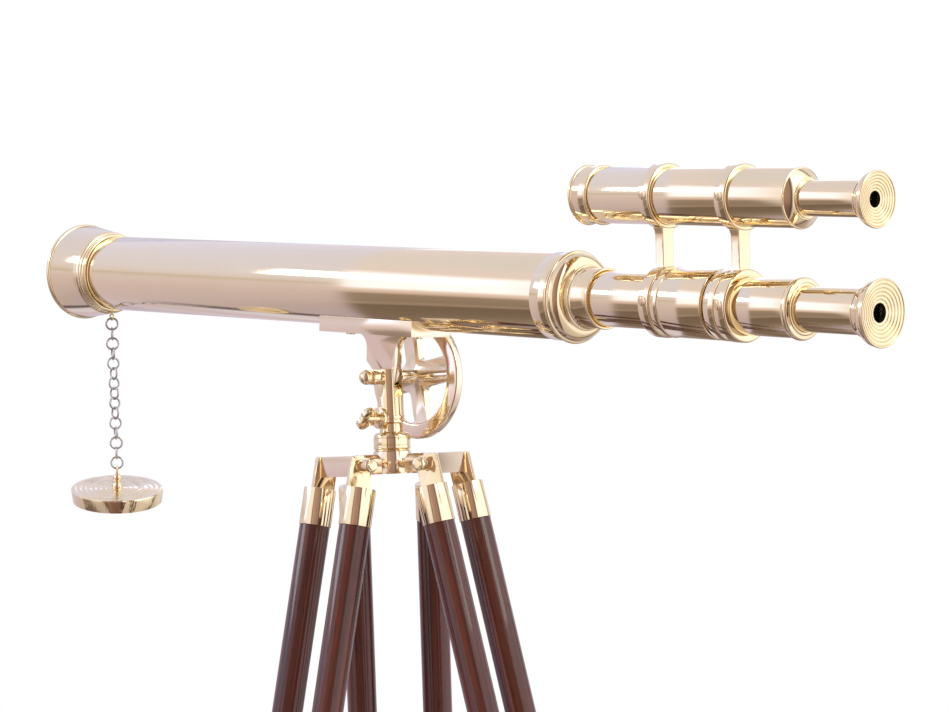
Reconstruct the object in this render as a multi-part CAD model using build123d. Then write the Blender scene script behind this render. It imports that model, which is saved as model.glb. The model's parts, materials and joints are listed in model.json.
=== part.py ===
"""Brass refracting telescope with a finder telescope, on a wooden tripod.

Frame: millimetres, +Z up. The origin is on the floor, under the vertical axis that the
telescope pans about. +X is the level direction of the eyepiece, -X that of the objective.
The telescope rests with its objective raised by rest_elevation.
"""
from build123d import *
import os
from math import cos, sin, sqrt, radians

# ---------------------------------------------------------------- driving dimensions
rest_elevation = 5.8        # degrees that the objective is raised

# main telescope, measured along its tube from the altitude axis
tube_diameter = 75.0
tube_wall = 1.6
tube_rise = 82.6            # altitude axis to the tube's centre line
front_reach = 425.6         # altitude axis forward to the back of the objective cell
rear_reach = 236.4          # altitude axis back to the collar's rim

# objective cell and its lens
cell_length = 55.0
cell_seat = 14.0            # how far the tube enters the cell
cell_rib_radius = 40.4
cell_rib_width = 2.6
cell_groove_radius = 39.2
cell_groove_width = 1.4
cell_bead_radius = 41.2
cell_bead_width = 3.0
cell_fillet = 6.0           # length of the hollow between the bead and the cone
cell_cone_radius = 42.6     # the cone's small end
cell_flare_radius = 47.9    # the cone's large end
cell_rim_radius = 49.1
cell_rim_width = 5.0
cell_rim_groove = 1.5
cell_mouth_radius = 47.55
cell_mouth_depth = 16.0
cell_mouth_taper = 2.15     # how much narrower the mouth is at its bottom
lens_radius = 38.9
flint_thickness = 4.5
crown_thickness = 7.0
crown_bulge = 1.8
crown_back_bulge = 1.4
lens_spacer = 0.4
retainer_width = 3.0
cell_step = 3.0             # width of the inner steps that stop the tube and the lens

# collar, shoulder and stub at the rear of the main tube
sleeve_length = 19.0
sleeve_thickness = 0.8
collar_radius = 40.3
collar_width = 4.0
shoulder_depth = 8.0
stub_base_radius = 28.6
stub_base_width = 3.0
stub_length = 22.6
stub_wall = 1.9
stub_bore_length = 46.0     # how far the draw tube's bearing reaches forward

# first draw tube with its bands, and the eyepiece barrel behind it
draw_radius = 23.7
draw_wall = 1.2
draw_travel = 40.0          # how far the draw tube can pull out before its end reaches its bearing
draw_gap = 62.2             # draw tube seen between the stub and the front bracket
band_radius = 29.5
front_band_width = 9.1
draw_sleeve_radius = 29.2
draw_sleeve_length = 47.2
draw_sleeve_wall = 2.0
draw_sleeve_flange = 5.0    # its thick ends, which seat on the draw tube
rear_band_width = 11.8
groove_width = 3.3
barrel_radius = 23.4
barrel_wall = 1.4
barrel_length = 53.4        # seen behind the rear bracket
end_ring_radius = 25.5
end_ring_width = 7.9
barrel_guide = 24.0         # how far the eyepiece tube's bearing reaches forward

# clamp brackets that carry the finder
bracket_width = 12.0
bracket_ring_radius = 30.0
finder_ring_radius = 27.5
bracket_lean = 6.0          # how far the upper ring stands ahead of the lower one
post_length_axis = 9.0      # along the tube
post_width = 13.0           # across the tube
bracket_screw_radius = 3.9
bracket_screw_proud = 0.7
bracket_screw_slot = 0.9
post_root = 3.0             # how far the post runs into each ring
finder_rise = 88.0          # between the two telescopes' centre lines

# eyepiece
eye_tube_radius = 18.2
eye_tube_wall = 1.2
eye_tube_seen = 58.3
eye_tube_inside = 62.0
cup_rim_radius = 27.5
cup_length = 18.1
cup_lip = 3.0
cup_dish = 4.0
eye_hole_radius = 7.6

# finder telescope
finder_radius = 24.0
finder_wall = 1.3
finder_front = 83.3         # finder front edge, forward of its front ring
finder_cap_length = 21.0
finder_cap_radius = 25.9
finder_lens_thickness = 5.0
finder_tail = 56.4          # finder tube behind the rear bracket
finder_end_radius = 25.0
finder_end_width = 2.0
finder_shoulder = 7.2
finder_eye_radius = 14.4
finder_eye_wall = 1.1
finder_eye_seen = 55.2
finder_eye_inside = 55.0
finder_guide = 20.0         # how far the finder eyepiece's bearing reaches forward
finder_cup_radius = 22.8
finder_cup_length = 13.5
finder_hole_radius = 6.4
finder_cup_lip = 2.4
finder_cup_dish = 3.2

# saddle under the main tube
saddle_length = 127.5
saddle_width = 48.0
saddle_depth = 14.5         # height of the saddle's side face
saddle_lead = 9.5           # how far the saddle's middle lies ahead of the altitude axis
tongue_thickness = 8.4
tongue_front = 28.0         # altitude axis forward to the tongue's edge
tongue_back = 11.5          # altitude axis back to the tongue's edge
tongue_end_radius = 9.5
tongue_waist = 14.0         # height above the altitude axis where the tongue starts to narrow
web_fillet = 14.0
saddle_screw_radius = 2.5
saddle_screw_spacing = 92.0

# fork, altitude bolt, clamp wheel and azimuth screw
fork_radius = 12.0
fork_cheek = 11.0           # half width over the flats of the fork's cheeks
fork_slot = 9.0
fork_above_pivot = 7.0
fork_below_pivot = 18.0     # altitude axis down to the slot's floor
fork_stem = 24.0            # slot floor down to the fork's lower end
fork_ring_radius = 12.6
fork_ring_width = 6.5
fork_ring_bead = 2.4        # height of each of the ring's two beads
fork_ring_groove = 0.8      # depth of the groove between them
socket_depth = 19.0
pivot_bolt_radius = 4.0
knob_radius = 6.8
knob_barrel = 12.5
knob_ball_radius = 6.8
knob_sink = 2.0             # how far the ball is sunk into the barrel
wheel_offset = 34.7         # middle of the wheel from the telescope's plane
wheel_radius = 58.0
wheel_rim_depth = 14.5      # radial depth of the rim
wheel_width = 9.0
wheel_hub_radius = 14.5
wheel_boss_radius = 6.2
wheel_plate = 6.0
wheel_spoke_width = 18.0    # the upper and lower spokes
wheel_arm_width = 23.5      # the front and rear spokes
wheel_spoke_fillet = 6.0
wheel_spoke_bite = 2.0      # how far the spokes run into the rim
wheel_turn = 8.0            # degrees that the rear spoke rises from level
wheel_bolt_tip = 3.0        # bolt seen beyond the wheel
wheel_bar_radius = 5.2
azimuth_screw_rise = 4.4    # above the fork's lower end
azimuth_screw_radius = 2.6
azimuth_flange_gap = 0.6    # fork to the screw's flange
azimuth_flange_radius = 9.8
azimuth_flange_width = 3.0
azimuth_neck_radius = 4.6
azimuth_wing_radius = 6.8   # each of the wing's two lobes
azimuth_wing_reach = 21.4   # flange to the wing's outer end
azimuth_wing_thickness = 5.0
azimuth_wing_turn = 45.0    # degrees that the wing is turned from upright

# spindle and tripod head
spindle_radius = 7.0
spindle_neck_radius = 10.9
spindle_neck = 9.0          # fork's lower end down to the spindle's collar
collar_head_radius = 17.2
collar_head_height = 15.5
collar_flare = 4.0          # height of the collar's sloping shoulder
collar_seat_radius = 16.9
collar_seat_height = 2.0
collar_lip = 1.5            # the flare's top, beyond the neck
collar_neck_rise = 2.0      # height of the step from the flare to the neck
hub_radius = 17.7
hub_above_hinge = 12.0
hub_below_hinge = 8.5
spindle_tenon_radius = 8.0
tenon_floor = 4.0           # brass under the spindle's tenon
hinge_circle = 53.1         # pan axis out to each leg's hinge axis
arm_width = 14.0
arm_height = 17.0
arm_chamfer = 4.0
bar_half_length = 28.5
bar_depth = 15.0
bar_height = 18.5
bar_corner = 3.5

# legs
splay = 12.2                # degrees that each leg leans out
leg_length = 1397.5         # hinge axis to the floor, along the leg
first_leg_azimuth = 19.4    # degrees from +X
rod_radius = 14.0
rod_tenon_radius = 12.2     # where a rod enters its ferrule
rod_spacing_half = 36.0
ferrule_radius = 14.7
ferrule_top = 20.5          # hinge axis down to the ferrule's top
ferrule_length = 34.3
ferrule_cap = 8.0
strap_width = 22.0
strap_rise = 8.0            # hinge axis up to the strap's top
strap_corner = 3.0
strap_thickness = 5.0
strap_gap = 0.3
hinge_bolt_radius = 4.0
bolt_head_radius = 7.5
bolt_head_thickness = 3.0
nut_radius = 6.2
nut_dome = 1.4              # depth and height of the nut's rounded ends
nut_length = 17.0
nut_gap = 0.3
bolt_tip = 2.5
upper_rod_length = 690.0
yoke_height = 40.0
yoke_wall = 3.6
yoke_boss = 1.0             # extra wall round the lower rod
yoke_overlap = 30.0         # length of upper rod held in the yoke
slider_wall = 3.0
slider_height = 40.0
slider_crown = 6.0          # thickness of brass above the lower rod
slider_above_yoke = 110.0   # slider's lower end above the yoke's upper end
clamp_screw_radius = 3.5
clamp_knob_radius = 10.0
clamp_knob_length = 14.0
clamp_neck = 7.0
clamp_collar_radius = 5.5
foot_length = 58.0
foot_ferrule = 34.0
foot_tip_radius = 7.0
foot_socket_floor = 8.0     # thickness of brass under the rod

# lens cap on its chain
cap_depth = 13.5
cap_wall = 0.9
cap_top = 1.6
cap_clearance = 0.15
cap_grooves = 7
cap_plain_radius = 10.0     # the flat middle of the cap, inside its grooves
cap_groove_width = 1.6
cap_groove_depth = 0.4
cap_base_radius = 5.4
cap_base_height = 6.5
cap_neck_radius = 2.9
cap_ball_radius = 4.5
cap_stem = 5.0              # ball to the eye's centre
cap_eye_radius = 2.2
cap_eye_wire = 0.9
cap_lean_x = 8.5            # degrees that the hanging cap leans about X
cap_lean_y = 14.0           # degrees that it leans about Y
ring_wire_radius = 0.75
ring_radius = 5.9           # centre line of a chain ring
chain_rings = 15
chain_facing = 48.0         # degrees that the first ring is turned from the telescope's plane
chain_twist = 45.0          # degrees that the chain's middle is twisted from its ends
chain_slack = 0.06
eyelet_post = 1.4
eyelet_radius = 2.9
eyelet_wire = 0.85

# small details
edge_break = 1.2            # chamfer on the turned rims
lens_recess = 1.2           # how much smaller the cell is in the hollow behind its cone
flint_edge = 0.2            # extra hollow of the rear glass
spanner_slot = 1.2          # half width of the retaining ring's slots
erector_radius = 11.0
erector_width = 6.0
erector_stations = (8.0, 45.0)   # behind the front bracket's front face
eye_lens_thickness = 4.0
eye_lens_seat = 1.0         # eye lens to the tube's end
eyepiece_lens_gap = 42.0    # eyepiece tube's end to the front of its field lens
eyepiece_bulge = 2.4
finder_eye_bulge = 1.8
finder_lens_bulge = 1.2
cup_edge = 1.6              # flat rim of a cup
cup_step = 1.0              # the ledge that a cup sits on its tube with
cup_plate = 2.6             # thickness round a cup's hole
cup_neck = 1.4              # a cup's neck, thicker than its tube
cup_steps = 5
saddle_slot = 1.0
hub_foot = 1.0              # hub's lower end to the arms' underside
yoke_web = 8.0
slider_web = 7.0
clamp_knob_chamfer = 2.5
foot_shoulder = 3.5
foot_taper = 12.0           # length of the foot's taper

# clearances
running = 0.06              # radial, a shaft or tube that turns or slides
slip = 0.3                  # between faces that pass each other

# ---------------------------------------------------------------- worked out from these
tube_radius = tube_diameter / 2
hinge_height = leg_length * cos(radians(splay))
hub_top = hinge_height + hub_above_hinge
hub_bottom = hinge_height - hub_below_hinge
collar_bottom = hub_top + collar_seat_height
collar_top = collar_bottom + collar_head_height
fork_bottom = collar_top + spindle_neck
slot_floor = fork_bottom + fork_stem
pivot_height = slot_floor + fork_below_pivot

stub_end = rear_reach + collar_width + shoulder_depth + stub_base_width + stub_length
front_bracket = stub_end + draw_gap
rear_bracket = (
    front_bracket + bracket_width + front_band_width + draw_sleeve_length + groove_width + rear_band_width
)
barrel_end = rear_bracket + bracket_width + barrel_length
end_ring_end = barrel_end + end_ring_width
eye_tube_end = end_ring_end + eye_tube_seen
finder_start = front_bracket - bracket_lean - finder_front
finder_tube_start = finder_start + finder_cap_length
finder_tube_end = rear_bracket - bracket_lean + bracket_width + finder_tail
finder_shoulder_end = finder_tube_end + finder_end_width + finder_shoulder
finder_eye_end = finder_shoulder_end + finder_eye_seen
leg_azimuths = [first_leg_azimuth + 120 * k for k in range(3)]

scope_place = Pos(0, 0, pivot_height) * Rot(0, rest_elevation, 0) * Pos(0, 0, tube_rise)
along_x = Rot(0, 90, 0)


# ---------------------------------------------------------------- helpers
def turned(points):
    """A solid turned about the X axis from (x, radius) corners."""
    face = make_face(Polyline(*[(x, r, 0) for x, r in points], close=True))
    return revolve(face, Axis.X)


def pipe(start, end, outer, inner):
    """A straight pipe along X."""
    return turned([(start, inner), (start, outer), (end, outer), (end, inner)])


def rod_x(start, end, radius):
    """A straight round bar along X."""
    return Pos((start + end) / 2, 0, 0) * along_x * Cylinder(radius, end - start)


def rod_y(start, end, radius):
    """A straight round bar along Y."""
    return Pos(0, (start + end) / 2, 0) * Rot(90, 0, 0) * Cylinder(radius, end - start)


def rod_z(low, high, radius):
    """A straight round bar along Z."""
    return Pos(0, 0, (low + high) / 2) * Cylinder(radius, high - low)


def block(x0, x1, y0, y1, z0, z1):
    """A box between two corners."""
    return Pos((x0 + x1) / 2, (y0 + y1) / 2, (z0 + z1) / 2) * Box(x1 - x0, y1 - y0, z1 - z0)


def half_arc(x, radius, bulge):
    """The upper half of a lens face in the XY plane, from its edge to the X axis."""
    if bulge == 0:
        return Line((x, radius, 0), (x, 0, 0))
    sphere = (radius ** 2 + bulge ** 2) / (2 * abs(bulge))
    direction = 1 if bulge > 0 else -1
    halfway = direction * (sqrt(sphere ** 2 - (radius / 2) ** 2) - sphere + abs(bulge))
    return ThreePointArc((x, radius, 0), (x + halfway, radius / 2, 0), (x + bulge, 0, 0))


def lens(start, end, radius, bulge_front, bulge_back):
    """A lens along X; a positive bulge swells its face outwards."""
    front_tip = start - bulge_front
    back_tip = end + bulge_back
    face = make_face([
        half_arc(start, radius, -bulge_front),
        Line((start, radius, 0), (end, radius, 0)),
        half_arc(end, radius, bulge_back),
        Line((front_tip, 0, 0), (back_tip, 0, 0)),
    ])
    return revolve(face, Axis.X)


def leg_place(azimuth):
    """From a leg's own frame (hinge axis along Y, leg down -Z) to the tripod's."""
    return Rot(0, 0, azimuth) * Pos(hinge_circle, 0, hinge_height) * Rot(0, -splay, 0)


parts = {}


# ---------------------------------------------------------------- main telescope
def main_tube():
    tube_end = rear_reach + collar_width
    return pipe(-front_reach - cell_seat, tube_end, tube_radius, tube_radius - tube_wall)


def mouth_radius(depth):
    """Inner radius of the cell's tapered mouth, at a depth behind its rim."""
    return cell_mouth_radius - cell_mouth_taper * depth / cell_mouth_depth


def objective_cell():
    """Turned from its back edge forward, so its profile is drawn along -X."""
    groove_start = cell_rib_width
    bead_start = groove_start + cell_groove_width
    bead_end = bead_start + cell_bead_width
    cone_start = bead_end + cell_fillet
    cone_end = cell_length - cell_rim_width - cell_rim_groove
    rim_start = cell_length - cell_rim_width
    mouth_floor = cell_length - cell_mouth_depth
    stop = cell_seat + cell_step
    hollow = cell_bead_radius - lens_recess
    rim_root = cell_flare_radius - cell_rim_groove * 0.6
    lip = edge_break

    def at(x, r):
        return (-front_reach - x, r, 0)

    face = make_face([
        Polyline(
            at(cell_seat, tube_radius), at(0, tube_radius), at(0, cell_rib_radius),
            at(groove_start, cell_rib_radius), at(groove_start, cell_groove_radius),
            at(bead_start, cell_groove_radius), at(bead_start, cell_bead_radius),
            at(bead_end, cell_bead_radius), at(bead_end, hollow),
        ),
        ThreePointArc(
            at(bead_end, hollow),
            at(bead_end + 0.6 * cell_fillet, hollow + 0.35 * (cell_cone_radius - hollow)),
            at(cone_start, cell_cone_radius),
        ),
        Polyline(
            at(cone_start, cell_cone_radius), at(cone_end, cell_flare_radius),
            at(cone_end, rim_root), at(rim_start, rim_root), at(rim_start, cell_rim_radius - lip),
            at(rim_start + lip, cell_rim_radius), at(cell_length - lip, cell_rim_radius),
            at(cell_length, cell_rim_radius - lip), at(cell_length, cell_mouth_radius),
            at(mouth_floor, mouth_radius(cell_mouth_depth)), at(mouth_floor, lens_radius + running),
            at(stop, lens_radius + running), at(stop, tube_radius - cell_step),
            at(cell_seat, tube_radius - cell_step), at(cell_seat, tube_radius),
        ),
    ])
    return revolve(face, Axis.X)


def lens_back():
    """Where the objective's rear glass rests against the cell's step."""
    return -front_reach - cell_seat - cell_step


def objective_lenses():
    back = lens_back()
    flint = lens(back - flint_thickness, back, lens_radius, -crown_back_bulge - flint_edge, 0)
    crown_back = back - flint_thickness - lens_spacer
    crown = lens(crown_back - crown_thickness, crown_back, lens_radius, crown_bulge, crown_back_bulge)
    return Compound([flint, crown])


def lens_retaining_ring():
    inner = lens_radius - cell_step
    sphere = (lens_radius ** 2 + crown_bulge ** 2) / (2 * crown_bulge)
    swell = crown_bulge - sphere + sqrt(sphere ** 2 - inner ** 2)
    glass = flint_thickness + lens_spacer + crown_thickness
    back = lens_back() - glass - swell - running
    ring = pipe(back - retainer_width, back, lens_radius + running, inner)
    # two slots for the spanner that turns the ring
    slot_depth = retainer_width / 2
    for side in (-1, 1):
        middle = side * (lens_radius - cell_step / 2)
        ring -= block(
            back - retainer_width, back - retainer_width + slot_depth,
            -spanner_slot, spanner_slot, middle - cell_step, middle + cell_step,
        )
    return ring


def rear_collar():
    bore = draw_radius + running
    sleeve_outer = tube_radius + sleeve_thickness
    base = rear_reach + collar_width
    shoulder_end = base + shoulder_depth
    stub_outer = bore + stub_wall
    bearing_start = stub_end - stub_bore_length
    mid_radius = (tube_radius + stub_base_radius) / 2
    shoulder_start = sleeve_outer - 0.2 * sleeve_thickness
    face = make_face([
        Polyline(
            (bearing_start, bore, 0), (bearing_start, bore + stub_wall, 0),
            (base, bore + stub_wall, 0), (base, tube_radius, 0),
            (rear_reach - sleeve_length, tube_radius, 0),
            (rear_reach - sleeve_length, sleeve_outer, 0),
            (rear_reach, sleeve_outer, 0), (rear_reach, collar_radius, 0),
            (base, collar_radius, 0), (base, shoulder_start, 0),
        ),
        ThreePointArc(
            (base, shoulder_start, 0),
            (base + 0.72 * shoulder_depth, mid_radius + 2 * sleeve_thickness, 0),
            (shoulder_end, stub_base_radius, 0),
        ),
        Polyline(
            (shoulder_end, stub_base_radius, 0),
            (shoulder_end + stub_base_width, stub_base_radius, 0),
            (shoulder_end + stub_base_width, stub_outer, 0),
            (stub_end, stub_outer, 0), (stub_end, bore, 0), (bearing_start, bore, 0),
        ),
    ])
    return revolve(face, Axis.X)


def saddle_top():
    """Height of the saddle's upper edges, from the tube's centre line."""
    return -sqrt(tube_radius ** 2 - (saddle_width / 2) ** 2)


def saddle():
    top = saddle_top()
    bottom = top - saddle_depth
    front = -saddle_lead - saddle_length / 2
    back = front + saddle_length
    body = block(front, back, -saddle_width / 2, saddle_width / 2, bottom, top)
    half = tongue_thickness / 2
    waist = tongue_waist - tube_rise
    end_side = tongue_end_radius * 0.96
    end_level = -tube_rise - tongue_end_radius * 0.28
    curve = web_fillet * (1 - sqrt(0.5))

    def web(edge, side):
        """The hollow that spreads the tongue's front or back edge into the saddle."""
        return ThreePointArc(
            (edge + side * web_fillet, 0, bottom), (edge + side * curve, 0, bottom - curve),
            (edge, 0, bottom - web_fillet),
        )

    outline = make_face([
        Line((-tongue_front - web_fillet, 0, bottom), (tongue_back + web_fillet, 0, bottom)),
        web(tongue_back, 1),
        Polyline((tongue_back, 0, bottom - web_fillet), (tongue_back, 0, waist), (end_side, 0, end_level)),
        ThreePointArc(
            (end_side, 0, end_level), (0, 0, -tube_rise - tongue_end_radius), (-end_side, 0, end_level),
        ),
        Polyline(
            (-end_side, 0, end_level), (-tongue_front, 0, waist), (-tongue_front, 0, bottom - web_fillet),
        ),
        web(-tongue_front, -1),
    ])
    tongue = extrude(outline, half, both=True, dir=(0, 1, 0))
    body += tongue
    body -= rod_x(front - 1, back + 1, tube_radius)
    body -= Pos(0, 0, -tube_rise) * rod_y(-half - 1, half + 1, pivot_bolt_radius + running)
    for x in saddle_screw_stations():
        body -= Pos(x, 0, 0) * rod_z(bottom - 1, -tube_radius, saddle_screw_radius)
    return body


def saddle_screw_stations():
    return [-saddle_lead + side * saddle_screw_spacing / 2 for side in (-1, 1)]


def saddle_screws():
    bottom = saddle_top() - saddle_depth
    head_radius = saddle_screw_radius * 1.8
    head_height = saddle_screw_radius * 0.9
    screws = []
    for x in saddle_screw_stations():
        shank = rod_z(bottom, -tube_radius, saddle_screw_radius)
        head = rod_z(bottom - head_height, bottom, head_radius)
        slot = block(
            -head_radius, head_radius, -saddle_slot / 2, saddle_slot / 2,
            bottom - head_height, bottom - head_height / 2,
        )
        screws.append(Pos(x, 0, 0) * (shank + head - slot))
    return Compound(screws)


# ---------------------------------------------------------------- draw tubes and brackets
def first_draw_tube():
    start = stub_end - stub_bore_length - draw_travel
    return pipe(start, rear_bracket + bracket_width / 2, draw_radius, draw_radius - draw_wall)


def draw_bands():
    """The plain bands each side of the draw tube's sleeve."""
    front = front_bracket + bracket_width
    front_band = pipe(front, front + front_band_width, band_radius, draw_radius)
    groove_end = front + front_band_width + draw_sleeve_length + groove_width
    rear_band = pipe(groove_end, groove_end + rear_band_width, band_radius, draw_radius)
    return Compound([front_band, rear_band])


def draw_sleeve():
    """A hollow drum that seats on the draw tube at its two ends."""
    start = front_bracket + bracket_width + front_band_width
    end = start + draw_sleeve_length
    inner = draw_sleeve_radius - draw_sleeve_wall
    return turned([
        (start, draw_radius), (start, draw_sleeve_radius), (end, draw_sleeve_radius), (end, draw_radius),
        (end - draw_sleeve_flange, draw_radius), (end - draw_sleeve_flange, inner),
        (start + draw_sleeve_flange, inner), (start + draw_sleeve_flange, draw_radius),
    ])


def bracket(start):
    """A figure-eight casting: a ring round each telescope and a post between them."""
    end = start + bracket_width
    middle = (start + end) / 2
    lower_ring = rod_x(start, end, bracket_ring_radius)
    upper_ring = finder_offset() * rod_x(start, end, finder_ring_radius)
    foot = bracket_ring_radius - post_root
    top = finder_rise - finder_ring_radius + post_root
    half_post = post_length_axis / 2
    lean = bracket_lean / finder_rise
    post = make_face(Polyline(
        (middle - half_post, 0, foot), (middle + half_post, 0, foot),
        (middle + half_post - lean * top, 0, top), (middle - half_post - lean * top, 0, top), close=True,
    ))
    body = lower_ring + upper_ring + extrude(post, post_width / 2, both=True, dir=(0, 1, 0))
    body -= rod_x(start - 1, end + 1, draw_radius)
    body -= finder_offset() * rod_x(start - 1, end + 1, finder_radius)
    hole = Pos(middle, 0, 0) * rod_y(-2 * bracket_ring_radius, 0, bracket_screw_radius)
    return body - hole - finder_offset() * hole


def finder_offset():
    """From the main telescope's centre line to the finder's, at one bracket's rings."""
    return Pos(-bracket_lean, 0, finder_rise)


def bracket_screws():
    """Slotted grub screws, one in the side of each ring."""
    screws = []
    half = bracket_screw_slot / 2
    for start in (front_bracket, rear_bracket):
        middle = start + bracket_width / 2
        for place, tube, ring in (
            (Pos(middle, 0, 0), draw_radius, bracket_ring_radius),
            (Pos(middle, 0, 0) * finder_offset(), finder_radius, finder_ring_radius),
        ):
            head = -ring - bracket_screw_proud
            screw = rod_y(head, -tube - slip, bracket_screw_radius)
            cut = block(
                -half, half, head - 1, head + 2 * bracket_screw_proud,
                -bracket_screw_radius - 1, bracket_screw_radius + 1,
            )
            screws.append(place * (screw - cut))
    return Compound(screws)


def eyepiece_barrel():
    inner_start = rear_bracket + bracket_width / 2
    bore = barrel_radius - barrel_wall
    flange_end = rear_bracket + bracket_width
    return turned([
        (inner_start, bore), (inner_start, draw_radius), (flange_end, draw_radius),
        (flange_end, barrel_radius), (barrel_end + end_ring_width / 2, barrel_radius),
        (barrel_end + end_ring_width / 2, bore),
    ])


def barrel_end_ring():
    """The bead at the barrel's end, with the bearing that guides the eyepiece tube."""
    middle = barrel_end + end_ring_width / 2
    bore = eye_tube_radius + running
    inner_barrel = barrel_radius - barrel_wall
    guide_start = barrel_end - barrel_guide
    edge = end_ring_width / 4
    return turned([
        (guide_start, bore), (guide_start, inner_barrel), (middle, inner_barrel),
        (middle, barrel_radius), (barrel_end, barrel_radius),
        (barrel_end, end_ring_radius - edge), (barrel_end + edge, end_ring_radius),
        (end_ring_end - edge, end_ring_radius), (end_ring_end, end_ring_radius - edge),
        (end_ring_end, bore),
    ])


def erector_lenses():
    """A pair of small lenses inside the draw tube, each in its own mounting ring."""
    solids = []
    inner = draw_radius - draw_wall
    for station in erector_stations:
        x = front_bracket + station
        mounting = pipe(x, x + erector_width, inner, erector_radius)
        glass = lens(
            x + eye_lens_seat, x + erector_width - eye_lens_seat, erector_radius,
            finder_eye_bulge / 2, finder_eye_bulge / 2,
        )
        solids += [mounting, glass]
    return Compound(solids)


def eyepiece_draw_tube():
    start = end_ring_end - eye_tube_inside
    return pipe(start, eye_tube_end + cup_length / 3, eye_tube_radius, eye_tube_radius - eye_tube_wall)


def flared_cup(start, length, neck_outer, seat, rim_radius, lip, dish, hole):
    """An eyecup: a flare from its neck to a rim, with a stepped dish down to the eye hole."""
    end = start + length
    flare_end = end - lip
    floor = end - dish
    run = (rim_radius - cup_edge - hole) / cup_steps
    depth = dish / (cup_steps + 1)
    dish_corners = []
    for k in range(cup_steps):
        r = rim_radius - cup_edge - k * run
        dish_corners += [(end - k * depth, r, 0), (end - (k + 1) * depth, r, 0)]
    back = start + length / 3
    plate_back = floor - cup_plate
    ledge = seat - cup_step
    face = make_face([
        Polyline((start, seat, 0), (start, neck_outer, 0)),
        ThreePointArc(
            (start, neck_outer, 0),
            (start + 0.68 * (flare_end - start), neck_outer + 0.32 * (rim_radius - neck_outer), 0),
            (flare_end, rim_radius, 0),
        ),
        Polyline(
            (flare_end, rim_radius, 0), (end, rim_radius, 0), *dish_corners,
            (floor, hole, 0), (plate_back, hole, 0), (plate_back, ledge, 0),
            (back, ledge, 0), (back, seat, 0), (start, seat, 0),
        ),
    ])
    return revolve(face, Axis.X)


def eyepiece_cup():
    return flared_cup(
        eye_tube_end, cup_length, eye_tube_radius + cup_neck, eye_tube_radius,
        cup_rim_radius, cup_lip, cup_dish, eye_hole_radius,
    )


def eyepiece_lenses():
    inner = eye_tube_radius - eye_tube_wall
    eye_lens_end = eye_tube_end + cup_length / 3
    back = eye_lens_end - eye_lens_seat
    eye_lens = lens(back - eye_lens_thickness, back, inner, eyepiece_bulge, 0)
    field_start = eye_lens_end - eyepiece_lens_gap
    field_lens = lens(field_start, field_start + eye_lens_thickness, inner, eyepiece_bulge, 0)
    return Compound([eye_lens, field_lens])


# ---------------------------------------------------------------- finder
def finder_tube():
    start = finder_tube_start - finder_cap_length / 2
    return pipe(start, finder_tube_end, finder_radius, finder_radius - finder_wall)


def finder_front_cap():
    """The finder's objective cell, which slips over the tube."""
    tube_start = finder_tube_start - finder_cap_length / 2
    lip = edge_break
    return turned([
        (finder_start, finder_radius - finder_wall), (finder_start, finder_cap_radius - lip),
        (finder_start + lip, finder_cap_radius), (finder_tube_start - lip, finder_cap_radius),
        (finder_tube_start, finder_cap_radius - lip / 2), (finder_tube_start, finder_radius),
        (tube_start, finder_radius), (tube_start, finder_radius - finder_wall),
    ])


def finder_objective_lens():
    start = finder_tube_start - finder_cap_length / 2
    end = start + finder_lens_thickness
    return lens(start, end, finder_radius - finder_wall, finder_lens_bulge, finder_lens_bulge / 2)


def finder_end_ring():
    bore = finder_eye_radius + running
    opening = finder_eye_radius + cup_neck
    guide_start = finder_tube_end - finder_guide
    inner = finder_radius - finder_wall
    flat_end = finder_tube_end + finder_end_width
    face = make_face([
        Polyline(
            (guide_start, bore, 0), (guide_start, inner, 0), (finder_tube_end, inner, 0),
            (finder_tube_end, finder_end_radius, 0), (flat_end, finder_end_radius, 0),
        ),
        ThreePointArc(
            (flat_end, finder_end_radius, 0),
            (flat_end + 0.62 * finder_shoulder, (finder_end_radius + opening) / 2 + edge_break, 0),
            (finder_shoulder_end, opening, 0),
        ),
        Polyline((finder_shoulder_end, opening, 0), (finder_shoulder_end, bore, 0), (guide_start, bore, 0)),
    ])
    return revolve(face, Axis.X)


def finder_eyepiece_tube():
    start = finder_shoulder_end - finder_eye_inside
    end = finder_eye_end + finder_cup_length / 3
    return pipe(start, end, finder_eye_radius, finder_eye_radius - finder_eye_wall)


def finder_eyepiece_cup():
    return flared_cup(
        finder_eye_end, finder_cup_length, finder_eye_radius + cup_neck, finder_eye_radius,
        finder_cup_radius, finder_cup_lip, finder_cup_dish, finder_hole_radius,
    )


def finder_eye_lens():
    inner = finder_eye_radius - finder_eye_wall
    end = finder_eye_end + finder_cup_length / 3
    return lens(end - eye_lens_thickness, end - eye_lens_seat, inner, finder_eye_bulge, 0)


# ---------------------------------------------------------------- cap on its chain
def eyelet_centre():
    """The chain eyelet's ring, in the telescope's own frame."""
    x = -front_reach - cell_rib_width - cell_groove_width - cell_bead_width / 2
    return (x, 0, -cell_bead_radius - eyelet_post - eyelet_radius)


def chain_eyelet():
    x, _, z = eyelet_centre()
    ring = Pos(x, 0, z) * Rot(90, 0, 0) * Torus(eyelet_radius, eyelet_wire)
    post = Pos(x, 0, 0) * rod_z(z + eyelet_radius, -cell_groove_radius, cell_bead_width / 2)
    return post - rod_x(x - cell_length, x + cell_length, cell_bead_radius) + ring


def chain_pitch():
    return 2 * (ring_radius - ring_wire_radius) - chain_slack


def first_ring_centre():
    """The first chain ring hangs on the lower inside of the eyelet."""
    eye = (scope_place * Pos(*eyelet_centre())).position
    drop = eyelet_radius - eyelet_wire - ring_wire_radius - chain_slack
    return Vector(eye.X, eye.Y, eye.Z - drop - ring_radius)


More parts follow.
